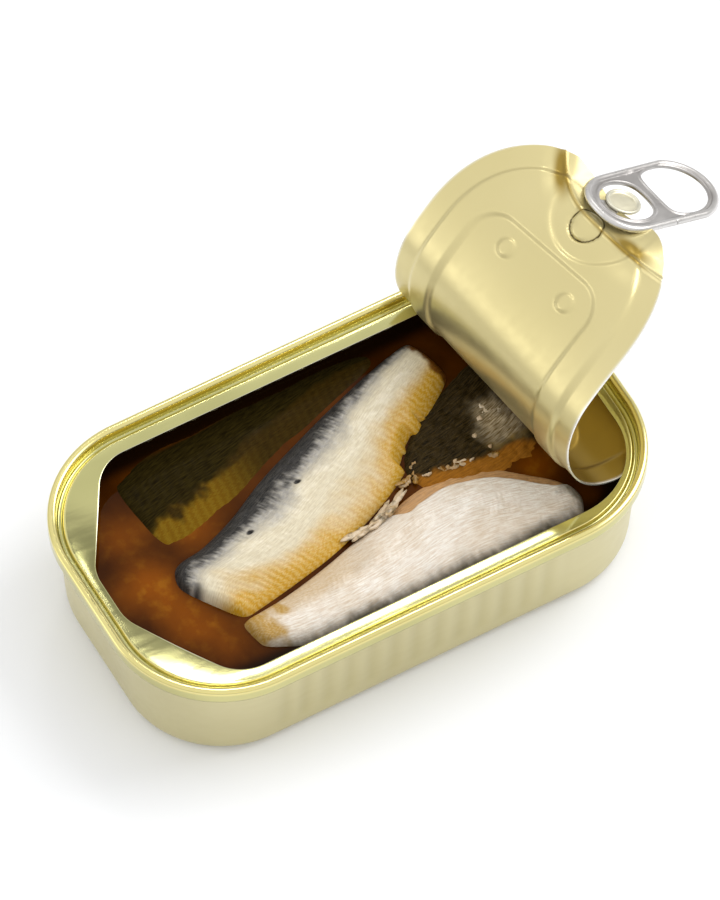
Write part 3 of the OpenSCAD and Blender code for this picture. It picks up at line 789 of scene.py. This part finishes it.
# %% [markdown]
# ## The fillets
#
# A fillet is half a fish, skin side up: crowned across, cut blunt at its ends, with a belly edge that the
# knife left ragged. It could be sculpted, but a loft says it better: two long edges, each a smooth curve
# through a few chosen places in the tin, and a crowned sheet between them that drops to the cup's floor.
# Attributes say where each point lies on the fish, so that back, flank and belly follow the body.

# %% Loft between two edges
FISH_Z = 3.3

def flowing(points, n):
    """A smooth curve through the points at n equal steps: cubic pieces whose slopes are the average ones."""
    p = np.asarray(points, float)
    for _ in range(2):
        chord = np.concatenate([[0], np.cumsum(np.hypot(*np.diff(p, axis=0).T))])
        slope = np.gradient(p, chord, axis=0)
        t = np.linspace(0, chord[-1], n)
        k = np.clip(np.searchsorted(chord, t) - 1, 0, len(p) - 2)
        w = (chord[k + 1] - chord[k])[:, None]
        v = (t - chord[k])[:, None] / w
        p = (p[k] * (2 * v**3 - 3 * v**2 + 1) + p[k + 1] * (3 * v**2 - 2 * v**3)
             + slope[k] * w * (v**3 - 2 * v**2 + v) + slope[k + 1] * w * (v**3 - v**2))
    return p

class Fillet:
    """The sheet between a far and a near edge. U runs along from 0 to 1, X across from 1 (far) to -1."""
    def __init__(self, far, near, n_u=330, n_x=104):
        lin = np.linspace(0, 1, n_u)
        u = 0.6 * lin + 0.4 * (0.5 - 0.5 * np.cos(math.pi * lin))
        x = np.concatenate([np.linspace(1, -1, n_x), -np.cos(np.linspace(0, math.pi, 16))[1:-1]])
        self.U, self.X = np.meshgrid(u, x, indexing="ij")
        self.top = np.meshgrid(u, np.arange(len(x)) < n_x, indexing="ij")[1]
        far, near = (flowing(e, 400) for e in (far, near))
        pick = lambda e: np.stack([np.interp(u, np.linspace(0, 1, 400), e[:, k]) for k in (0, 1)], 1)
        far, near = pick(far), pick(near)
        self.mid, self.half = (far + near) / 2, (far - near) / 2
        self.wide = np.hypot(*self.half.T)[:, None]
        self.length = float(np.hypot(*np.diff(self.mid, axis=0).T).sum())
        self.s, self.a = self.U * self.length, self.X * self.wide
        self.px = self.mid[:, 0][:, None] + self.X * self.half[:, 0][:, None]
        self.py = self.mid[:, 1][:, None] + self.X * self.half[:, 1][:, None]

    def shape(self, level, top, crown, ends, relief, ragged=0.0):
        """Heights: edges at level, the middle up at top, the ends rounded off over a few millimetres."""
        U, X = self.U, self.X
        end = np.minimum(self.s / ends[0], (self.length - self.s) / ends[1])
        q = np.sqrt(np.clip(1 - (1 - np.clip(end, 0, 1)) ** 2.4, 0, 1))
        rise = (1 - np.abs(X) ** crown) ** 0.62
        z = level + (top - level) * rise * (0.25 + 0.75 * q) - 1.6 * (1 - q)
        z = z + relief * q * (1 - np.abs(X) ** 10)
        under = level - 1.6 * (1 - q) - (level - FISH_Z - 2) * np.sqrt(np.clip(1 - X ** 2, 0, 1)) ** 0.4
        across = X * (1 - ragged) * (0.90 + 0.10 * q)
        xy = self.mid[:, None] + across[..., None] * self.half[:, None]
        return np.concatenate([xy, np.where(self.top, z, under)[..., None]], -1)

def make_fillet(name, form, points, masks, node, slot):
    masks = dict({"along": form.s, "across": form.a}, **masks)
    return make_shell(name, points, values=masks, replaces=[node], slot=slot)

# %% Middle fillet
f = Fillet([(-35, -1.5), (-33.5, 2.4), (-27, 4.2), (-20, 6.9), (-12, 11.2), (-2, 15.4), (10, 19.9),
            (19, 22.8), (26, 24.4)],
           [(-27.8, -12.6), (-22, -11.6), (-15, -10.2), (-8, -8.6), (0, -5.8), (7, -2.6), (12, 0.6), (15, 4),
            (19, 7), (24, 10.6), (28.8, 14.6)])
s, a, U, X = f.s, f.a, f.U, f.X
torn = cloud(s, 0 * s, 2.4, 12, 2)
bite = smooth((torn + 0.05) / 0.3) * smooth((U - 0.50) / 0.05) * smooth((0.86 - U) / 0.05)
ragged = 0.15 * bite * smooth((-X - 0.5) / 0.4)
ribs = np.sin(2 * math.pi * (s + 0.16 * a + 0.5 * cloud(s, a, 5, 3)) / 1.3)
rib_zone = smooth((0.30 - X) / 0.5) * (0.45 + 0.55 * smooth((0.45 - U) / 0.3)) * smooth((0.92 - U) / 0.1)
back_line = 0.50 - 0.08 * bump(U - 0.38, 0.25) + 0.22 * smooth((U - 0.5) / 0.4)
relief = (0.020 * ribs * rib_zone + 0.13 * cloud(s * 1.5, a, 1.2, 8) * smooth((X - back_line) / 0.15)
          + 0.13 * cloud(s, a, 7.0, 4) + 0.07 * cloud(s, a, 2.6, 9) - 0.16 * bump(X - back_line + 0.04, 0.10))
spots = np.zeros_like(s)
for sx, sy in ((-6.4, 6.8), (-18.8, 1.6)):
    spots = np.maximum(spots, bump(np.hypot((f.px - sx) / 1.0, (f.py - sy) / 0.62), 1.0))
frayed = X - back_line + 0.07 + 0.07 * cloud(s, a, 2.6, 30) + 0.10 * cloud(s * 2.4, a * 0.6, 0.8, 47)
middle_masks = {
    "back": np.maximum(smooth(frayed / 0.32),
                       smooth((0.04 - U + 0.03 * cloud(s, a, 3, 41)) / 0.05) * smooth((X - 0.15) / 0.35)),
    "slate": smooth((X - back_line + 0.42 + 0.14 * cloud(s, a, 4.0, 42)) / 0.50),
    "belly": smooth((-X - 0.20 + 0.42 * smooth((U - 0.45) / 0.5) + 0.40 * smooth((0.30 - U) / 0.28)
                     + 0.24 * cloud(s, a, 5.0, 31)) / 0.80),
    "flesh": smooth((U - 0.955 + 0.012 * cloud(s, a, 2.0, 32)) / 0.02) * smooth((0.85 - X) / 0.2),
    "spots": smooth(spots * 2.5)}
points = f.shape(level=15.7, top=18.8, crown=2.6, ends=(2.4, 2.4), relief=relief - 0.35 * smooth(spots),
                 ragged=ragged)
fillet_middle = make_fillet("middle_fillet_skin", f, points, middle_masks, "fillet_middle", "fish_skin")

# %% Front fillet
f = Fillet([(-29, -12.9), (-20, -11.9), (-10, -9.7), (-3, -7.7), (4, -5.9), (11, -3.7), (18, -3.5),
            (25, -5.8), (30.5, -10.5), (34.5, -14.5), (36.4, -18)],
           [(-27.8, -19.0), (-20, -22.8), (-10, -25.3), (0, -26.3), (15, -26.6), (28, -26.0), (34, -23.5),
            (36.4, -19.8)])
s, a, U, X = f.s, f.a, f.U, f.X
strip = (3.4 + 0.5 * cloud(s, 0 * s, 6.0, 16)) * smooth((f.px - 3) / 6) * smooth((37 - f.px) / 5)
from_far = (1 - X) * f.wide
fine = np.sin(2 * math.pi * (s - 0.25 * a + 0.5 * cloud(s, a, 4, 5)) / 0.95)
relief = (0.012 * fine * smooth((from_far - strip) / 1.0) + 0.16 * cloud(s, a, 9.0, 14)
          + 0.08 * cloud(s, a, 2.4, 15) - 0.55 * smooth((strip - from_far + 0.2) / 0.45)
          - 0.10 * cloud(s, a, 0.9, 19) * smooth((strip - from_far) / 0.5))
# Painted shadow: the fillet darkens to near black where it runs under the front ledge; the darker scales at
# its right end are its own colour.
ledge_shadow_and_dark_end = smooth((-f.py - 20.4 + 0.32 * cloud(s, a * 0.5, 0.9, 33) + 0.4 * cloud(s, a, 4.0, 45)) / 3.2)
ledge_shadow_and_dark_end = np.maximum(ledge_shadow_and_dark_end, 0.7 * smooth((U - 0.90 + 0.03 * cloud(s, a, 1.5, 46)) / 0.08))
front_masks = {
    "back": ledge_shadow_and_dark_end * smooth((f.px + 29) / 5),
    # Painted shade: brown-grey towards the front ledge, with loose patches of slate tone.
    "slate": np.clip(0.9 * smooth((-f.py - 19.2 + 0.8 * cloud(s, a, 1.6, 48)) / 5.5)
                     + 0.25 * smooth((cloud(s, a, 7.0, 43) - 0.25) / 0.6), 0, 1),
    "belly": np.maximum.reduce([smooth((-20.0 - f.px + 4.5 * cloud(s, a, 3.0, 34)) / 6),
                                0.62 * smooth((12.0 - f.px) / 25) * smooth((X + 0.2) / 0.7),
                                0.22 * smooth((cloud(s, a, 8.0, 49) + 0.05) / 0.7),
                                0.30 * smooth((U - 0.86 + 0.06 * cloud(s, a, 4.0, 50)) / 0.12)]),
    "flesh": smooth((strip - from_far) / 0.25), "spots": 0 * s}
points = f.shape(level=15.7, top=18.4, crown=2.6, ends=(2.5, 6.0), relief=relief)
fillet_front = make_fillet("front_fillet_skin", f, points, front_masks, "fillet_front", "fish_skin")

# %% Right fillet
f = Fillet([(11.5, 1.5), (16, 6.5), (22, 10.5), (29, 14.0), (37, 16.5), (44.5, 16)],
           [(11.5, -3.5), (17, -6.5), (25, -9.0), (33, -9.0), (40, -5), (45.5, 2)], n_u=240)
s, a, U, X = f.s, f.a, f.U, f.X
wrinkle = np.sin(2 * math.pi * (0.55 * f.px - f.py + 1.3 * cloud(s, a, 5, 6)) / 1.9)
below = f.py + 1.2 + 0.14 * (f.px - 15)
relief = (0.10 * wrinkle * smooth(below / 2) + 0.22 * cloud(s, a, 4.0, 17) + 0.16 * cloud(s, a, 1.3, 24)
          - 0.5 * smooth(-below / 1.5))
right_masks = {
    "back": 1 - bump(np.hypot(f.px - 31.5, (f.py - 1.5) * 0.9) + 1.6 * cloud(s, a, 3.0, 35), 6.5),
    "slate": 0 * s,
    "belly": bump(below + 0.8 * cloud(s, a, 2.0, 36), 1.6),
    "flesh": smooth((-below - 0.4 + 0.8 * cloud(s, a, 3.0, 37)) / 1.2), "spots": 0 * s}
points = f.shape(level=15.6, top=17.5, crown=2.6, ends=(3, 3), relief=relief)
fillet_right = make_fillet("right_fillet_skin", f, points, right_masks, "fillet_right", "fish_dark")

# %% Back fillet
f = Fillet([(-35.5, 23.0), (-28, 26.2), (-15, 27.0), (0, 27.2), (12, 27.0), (20, 25.5)],
           [(-33.5, 6.6), (-26, 7.0), (-18, 9.6), (-8, 13.8), (2, 17.4), (12, 20.8), (20, 23.5)], n_u=260)
s, a, U, X = f.s, f.a, f.U, f.X
rays = np.sin(2 * math.pi * (s - 0.25 * a + 0.6 * cloud(s, a, 4, 7)) / 1.7)
relief = 0.008 * rays + 0.05 * cloud(s, a, 6.0, 18)
back_masks = {
    "back": smooth((X + 0.42 - 0.5 * smooth((U - 0.35) / 0.5) + 0.20 * cloud(s, a, 3.0, 38)) / 0.30),
    "slate": 0 * s,
    "belly": smooth((-X - 0.18 + 0.3 * cloud(s, a, 3.0, 39)) / 0.35) * smooth((0.50 - U) / 0.3),
    "flesh": smooth((X - 0.80) / 0.1) * bump(U - 0.32, 0.2), "spots": 0 * s}
points = f.shape(level=15.9, top=16.45, crown=2.2, ends=(2.0, 5.0), relief=relief)
fillet_back = make_fillet("back_fillet_skin", f, points, back_masks, "fillet_back", "fish_dark")

# %% [markdown]
# ## Torn scraps of skin
#
# Where the fillets were parted, slivers of silver skin and crumbs of flesh cling to their edges. Each scrap
# is a small curled sheet with a ragged outline. They are all one mesh, scattered along lines with a
# seeded generator, so that they fall the same way each time.

# %% Scraps
def scraps(line, count, spread, size, height, tone, seed, wild=0.5):
    """Curled slips along a line: each is a leaf-shaped grid, turned, bent round its long axis and lifted."""
    rng = np.random.default_rng(seed)

    def draw(low, high):
        return rng.uniform(low, high, count)[:, None, None]

    spine = flowing(line, 200)
    pick = rng.integers(4, 196, count)
    centre = spine[pick] + rng.normal(0, spread, (count, 2))
    way = spine[np.minimum(pick + 3, 199)] - spine[pick - 3]
    heading = np.arctan2(way[:, 1], way[:, 0]) + rng.normal(0, wild, count)
    u, v = (g[None] for g in np.meshgrid(np.linspace(-1, 1, 15), np.linspace(-1, 1, 9), indexing="ij"))
    long, wide = draw(0.6, 1.3) * size[0], draw(0.6, 1.2) * size[1]
    seeds = draw(0, 900)
    leaf = np.sqrt(np.maximum(0.02, 1 - np.abs(u) ** 2.2))
    leaf = leaf * (1 + 0.35 * cloud(u * 3 + seeds, v * 2, 0.8, 3, 2))
    lx, ly = u * long, v * wide * leaf
    lift = draw(-0.15, 0.55) * np.abs(u) * size[0] * 0.6
    lz = lift - (v ** 2) * wide * draw(0.1, 0.8) + 0.18 * cloud(lx + seeds, ly, 0.7, 6, 2)
    c, t = np.cos(heading)[:, None, None], np.sin(heading)[:, None, None]
    x = centre[:, 0][:, None, None] + lx * c - ly * t
    y = centre[:, 1][:, None, None] + lx * t + ly * c
    z = draw(*height) + lz
    upper, lower = np.stack([x, y, z + 0.06], -1), np.stack([x, y, z - 0.06], -1)
    return upper, lower, np.clip(rng.normal(tone, 0.18, count), 0, 1)

# Each batch has a line, a number, a spread, a size, heights above the table, a tone and a seed.
batches = [scraps([(-3, -8.2), (3, -6.0), (9.5, -3.0)], 6, 0.5, (3.6, 0.70), (17.1, 17.6), 0.55, 111, 0.14),
           scraps([(9, -2.2), (12, -0.6), (14, 1.5)], 5, 0.5, (1.2, 0.6), (16.8, 17.3), 0.15, 102),
           scraps([(14, -1.6), (19, -2.2), (24, -2.2), (29, -3.6)], 13, 0.55, (1.5, 0.55), (16.7, 17.1), 0.22,
                  103, 0.3),
           scraps([(26, 0.5), (30, 3), (32, 0)], 5, 1.4, (2.2, 1.1), (17.0, 17.2), 0.45, 104)]
upper, lower, tones = (np.concatenate(each) for each in zip(*batches))
torn_scraps = make_piece("torn_scraps", *joined(thin_shell(*faces) for faces in zip(upper, lower)),
                         values={"tone": np.repeat(tones, 2 * upper[0].shape[0] * upper[0].shape[1])},
                         closed=False, slot="fish_skin")

# %% [markdown]
# ## Effects that several finishes share
#
# Rolled steel has a faint grain along the rolling direction and slow changes of sheen; oily skin has fine
# streaks across the fish. Both are built once as groups and placed with their own sizes.

# %% Shared groups
def build_steel_grain():
    g, given, result = new_group("steel_grain", {"Grain": 900.0, "Cloud": 45.0}, ["Tone", "Grain", "Height"])
    line = g.noise(g.add("Mapping", Vector=g.where(), Scale=(0.12, 1.0, 1.0)), given["Grain"], Detail=3.0)
    patch = g.noise(g.where(), given["Cloud"], Detail=2.0)
    g.join(result, Tone=g.remap(patch, 0.3, 0.7), Grain=g.remap(line, 0.3, 0.7), Height=line)
    return g

def build_skin_streaks():
    g, given, result = new_group("skin_streaks", {"Along": 0.0, "Across": 0.0, "Pitch": 1.2, "Slant": 3.0,
                                                  "Wander": 1.0}, ["Streak", "Speck", "Blotch"])
    x, y = given["Along"], given["Across"]
    slanted = g.plus(x, g.times(y, given["Slant"]))
    flat_at = g.add("CombineXYZ", X=x, Y=g.times(y, 9.0))
    wander = g.times(g.noise(flat_at, 0.35, Detail=2.0), given["Wander"])
    phase = g.maths("DIVIDE", g.plus(slanted, wander), given["Pitch"])
    wave = g.maths("SINE", g.times(phase, 6.2832))
    thin_at = g.add("CombineXYZ", X=g.times(slanted, 3.2), Y=g.times(y, 4.0))
    hair = g.noise(thin_at, 1.0, Detail=4.0, Roughness=0.65)
    speck = g.noise(flat_at, 2.4, Detail=3.0, Roughness=0.7)
    blotch = g.noise(flat_at, 0.45, Detail=3.0)
    g.join(result, Streak=g.times(g.remap(wave, -1.0, 1.0), g.remap(hair, 0.25, 0.7)),
           Speck=g.remap(speck, 0.60, 0.70), Blotch=g.remap(blotch, 0.35, 0.65))
    return g

steel_grain, skin_streaks = build_steel_grain(), build_skin_streaks()

# %% [markdown]
# ## Gold lacquer
#
# The tin is steel under a thin gold lacquer. The gold comes from light passing the lacquer twice, so it is
# a coloured metal, paler and softer outside, yellower and glossier on the end, with a clear coat over it.
# Where the sheet was torn the lacquer stops, and the edge is bright steel.

# %% Lacquered steel
def lacquer(part, light, deep, rough, coat, metal):
    """The gold of the cup, the end or the panel, with painted shade and reflection and bare steel from its
    attributes.
    """
    f = Finish(part + "_gold")
    grain = f.use(steel_grain, Grain=700.0, Cloud=38.0)
    colour = f.mix(f.remap(grain["Tone"], 0.0, 1.0, 0.15, 0.85), deep, light)
    roughness = f.remap(grain["Grain"], 0.0, 1.0, rough - 0.03, rough + 0.05)
    if part == "cup":
        # Painted shade: the wall's colour darkens in the flute valleys.
        colour = f.mix(f.times(f.named("flute"), 0.30), colour, (0.46, 0.40, 0.18))
    if part == "end":
        # The ledge is a darker olive gold; on the seam it is painted shade, deepening into the groove and
        # dimming the outer wall.
        ledge_and_shade_gold = f.mix(grain["Tone"], (0.44, 0.425, 0.175), (0.58, 0.55, 0.25))
        colour = f.mix(f.named("ledge"), colour, ledge_and_shade_gold)
    if part == "panel":
        away_d, away_y = f.minus(f.named("length"), RIVET[0]), f.minus(f.named("across"), RIVET[1])
        away = f.maths("SQRT", f.plus(f.times(away_d, away_d), f.times(away_y, away_y)))
        # Painted shade: a dark ring in the groove round the rivet, on the inner face only.
        rivet_groove_shade = f.remap(f.maths("ABSOLUTE", f.minus(away, RIVET_R)), 0.08, 0.22, 1.0, 0.0)
        colour = f.mix(f.times(f.times(rivet_groove_shade, f.named("inside")), 0.85), colour, (0.06, 0.04, 0.01))
        # Painted reflection: the outer face is tinted deep gold-brown towards the root, standing in for the
        # dark that it mirrors there.
        root_dark_reflection = f.remap(f.named("length"), 18.0, 38.0, 1.0, 0.0)
        colour = f.mix(f.times(f.minus(1.0, f.named("inside")), root_dark_reflection), colour, (0.25, 0.155, 0.015))
        # Painted shade: deep gold-brown in the hollows at the crease.
        colour = f.mix(f.named("hollow"), colour, (0.32, 0.215, 0.035))
    if part != "cup":
        colour = f.mix(f.named("bare"), colour, (0.86, 0.85, 0.80))
        roughness = f.minus(roughness, f.times(f.named("bare"), 0.05))
    return f.shade(Metallic=metal, Coat_Weight=coat, Coat_Roughness=0.12, Base_Color=colour,
                   Roughness=roughness, Normal=f.bumps(grain["Height"], 0.04, 0.0002))

dress(lacquer("cup", (0.66, 0.60, 0.35), (0.58, 0.52, 0.29), 0.38, 0.10, 0.8), cup_shell)
dress(lacquer("end", (0.82, 0.73, 0.32), (0.68, 0.59, 0.22), 0.11, 0.15, 1.0), seam_and_ledge)
dress(lacquer("panel", (0.70, 0.61, 0.315), (0.65, 0.56, 0.265), 0.31, 0.10, 0.75), peeled_panel)

# %% [markdown]
# ## Bare steel and the button
#
# The pull has no lacquer. Tumbling gives it a satin face and polishes its rolled edges.

# %% Pull and button finishes
def satin_steel():
    f = Finish("satin_steel")
    grain = f.use(steel_grain, Grain=1500.0, Cloud=160.0)
    polished = f.remap(f.named("edge"), 0.2, 1.3, 1.0, 0.0)
    satin = f.mix(grain["Tone"], (0.40, 0.38, 0.365), (0.52, 0.50, 0.48))
    rough = f.minus(f.remap(grain["Grain"], 0.0, 1.0, 0.30, 0.42), f.times(polished, 0.06))
    return f.shade(Metallic=1.0, Base_Color=f.mix(polished, satin, (0.66, 0.64, 0.615)), Roughness=rough,
                   Normal=f.bumps(grain["Height"], 0.12, 0.0002))

def button_finish():
    f = Finish("button_finish")
    grain = f.use(steel_grain, Grain=1200.0, Cloud=200.0)
    face = f.mix(grain["Tone"], (0.76, 0.71, 0.52), (0.86, 0.81, 0.61))
    return f.shade(Metallic=1.0, Coat_Weight=0.3, Coat_Roughness=0.2,
                   Base_Color=f.mix(f.named("rim"), face, (0.70, 0.67, 0.53)),
                   Roughness=f.remap(grain["Grain"], 0.0, 1.0, 0.32, 0.44))

dress(satin_steel(), pull_frame, pull_tongue)
dress(button_finish(), button_disc)

# %% [markdown]
# ## Oil
#
# The oil is amber, deep and a little cloudy with fish juice. From above it reads as a dark brown mirror with
# orange clouds just under it, so it is an opaque body colour, cloudy by two noises, under a smooth coat.

# %% Oil finish
def oil_finish():
    f = Finish("amber_oil")
    slow = f.noise(f.where(), 75.0, Detail=4.0, Distortion=0.3)
    fine = f.noise(f.where(), 420.0, Detail=3.0)
    body = f.mix(f.remap(slow, 0.38, 0.66), (0.042, 0.0105, 0.0006), (0.090, 0.024, 0.001))
    glow = f.times(f.named("warm"), f.remap(slow, 0.30, 0.62, 0.45, 1.0))
    body = f.mix(glow, body, (0.27, 0.070, 0.002))
    body = f.mix(f.times(glow, f.remap(fine, 0.50, 0.70, 0.0, 0.5)), body, (0.36, 0.145, 0.008))
    # Painted shade: near black under the ledges and the curl.
    body = f.mix(f.named("oil_shade"), body, (0.010, 0.0035, 0.0006))
    return f.shade(Base_Color=body, Roughness=1.0, Specular_IOR_Level=0.0, Coat_Weight=0.20,
                   Coat_Roughness=0.03, Coat_IOR=1.40, Normal=f.bumps(slow, 0.04, 0.001))

dress(oil_finish(), oil_pool)

# %% [markdown]
# ## Fish skin
#
# A sardine is blue-black along its back, silver on its flank and, tinned, golden at the belly. The masks
# made with the shape choose between these, streaks and specks break them up, and oil makes it all shine.
# On the front fillet the back and slate colours mostly paint the shadow where it runs under the ledge.

# %% Fish finishes
def skin(name, flank, belly, back, slate, flesh, sheen, pitch, slant, streak, coat):
    """A sardine's skin: colour pairs for flank, belly and back, chosen by its masks, some painted shadow."""
    f = Finish(name)
    marks = f.use(skin_streaks, Along=f.named("along"), Across=f.named("across"), Pitch=pitch, Slant=slant,
                  Wander=2.6)
    stripes, speck, blotch = (marks[label] for label in ("Streak", "Speck", "Blotch"))
    colour = f.mix(f.named("belly"), f.mix(blotch, *flank), f.mix(f.times(stripes, streak), *belly))
    colour = f.mix(f.times(f.named("slate"), 0.8), colour, slate)
    colour = f.mix(f.times(stripes, 0.25 * streak), colour, sheen)
    dark = f.mix(f.times(speck, 0.22), f.mix(blotch, *back), flank[0])
    colour = f.mix(f.named("back"), colour, dark)
    colour = f.mix(f.named("flesh"), colour, f.mix(blotch, flesh, tuple(0.65 * c for c in flesh)))
    colour = f.mix(f.named("spots"), colour, (0.012, 0.010, 0.009))
    height = f.plus(f.times(stripes, 0.5), f.times(speck, 0.6))
    return f.shade(Specular_IOR_Level=0.2 * coat, Coat_Roughness=0.20, Base_Color=colour,
                   Roughness=f.remap(blotch, 0.0, 1.0, 0.40, 0.55),
                   Coat_Weight=f.remap(f.named("back"), 0.0, 1.0, coat, 0.3 * coat),
                   Normal=f.bumps(height, 0.42, 0.00025))

dress(skin("middle_skin", flank=((0.73, 0.66, 0.49), (0.59, 0.51, 0.36)),
           belly=((0.52, 0.27, 0.010), (0.64, 0.42, 0.055)),
           back=((0.016, 0.016, 0.016), (0.055, 0.050, 0.046)),
           slate=(0.25, 0.245, 0.25), flesh=(0.20, 0.072, 0.008), sheen=(0.86, 0.76, 0.52),
           pitch=1.3, slant=0.16, streak=0.9, coat=0.45), fillet_middle)
# The front skin's back and slate colours are mostly painted shadow under the front ledge.
dress(skin("front_skin", flank=((0.90, 0.86, 0.78), (0.69, 0.58, 0.47)),
           belly=((0.42, 0.24, 0.045), (0.56, 0.38, 0.12)),
           back=((0.028, 0.022, 0.010), (0.075, 0.060, 0.030)),
           slate=(0.34, 0.28, 0.21), flesh=(0.62, 0.35, 0.15), sheen=(0.84, 0.79, 0.70),
           pitch=0.95, slant=-0.25, streak=0.6, coat=0.45), fillet_front)
dress(skin("right_skin", flank=((0.56, 0.46, 0.30), (0.19, 0.13, 0.055)),
           belly=((0.42, 0.27, 0.07), (0.66, 0.50, 0.24)),
           back=((0.010, 0.0065, 0.002), (0.050, 0.032, 0.010)),
           slate=(0.2, 0.2, 0.2), flesh=(0.36, 0.14, 0.014), sheen=(0.20, 0.15, 0.07),
           pitch=1.9, slant=0.8, streak=0.6, coat=0.10), fillet_right)
dress(skin("back_skin", flank=((0.040, 0.022, 0.003), (0.024, 0.013, 0.002)),
           belly=((0.15, 0.075, 0.004), (0.24, 0.145, 0.010)),
           back=((0.010, 0.0065, 0.0015), (0.030, 0.021, 0.004)),
           slate=(0.1, 0.1, 0.1), flesh=(0.12, 0.035, 0.002), sheen=(0.085, 0.058, 0.010),
           pitch=1.7, slant=-0.25, streak=0.9, coat=0.03), fillet_back)

def scrap_finish():
    """Loose skin: from golden flesh to silver by each scrap's own tone, with dark flecks."""
    f = Finish("scrap_skin")
    grain = f.noise(f.where(), 900.0, Detail=3.0)
    colour = f.mix(f.named("tone"), (0.34, 0.18, 0.035), (0.80, 0.68, 0.50))
    return f.shade(Specular_IOR_Level=0.4, Coat_Weight=0.6, Coat_Roughness=0.1,
                   Base_Color=f.mix(f.remap(grain, 0.50, 0.66, 0.0, 0.7), colour, (0.10, 0.075, 0.03)),
                   Roughness=f.remap(grain, 0.3, 0.7, 0.22, 0.4))

dress(scrap_finish(), torn_scraps)

# %% [markdown]
# ## Floor finish, sizes and the end
#
# The floor is plain and pale. Last, the visual model's box is kept beside the engineered one.

# %% Floor finish and finish
pale = Finish("pale_floor")
cloudy = pale.noise(pale.where(), 3.0, Detail=1.0)
floor_colour = pale.mix(cloudy, (0.945, 0.955, 0.98), (0.96, 0.97, 0.99))
dress(pale.shade(Roughness=0.9, Base_Color=floor_colour), table_top)

for piece in (cup_shell, seam_and_ledge, peeled_panel, button_disc, pull_tongue):
    piece.data.set_sharp_from_angle(angle=math.radians(62))

as_lists = lambda box: [[round(float(v), 6) for v in corner] for corner in box]
sizes = {"cad": as_lists(cad_box), "visual": as_lists(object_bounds())}
print(sizes)
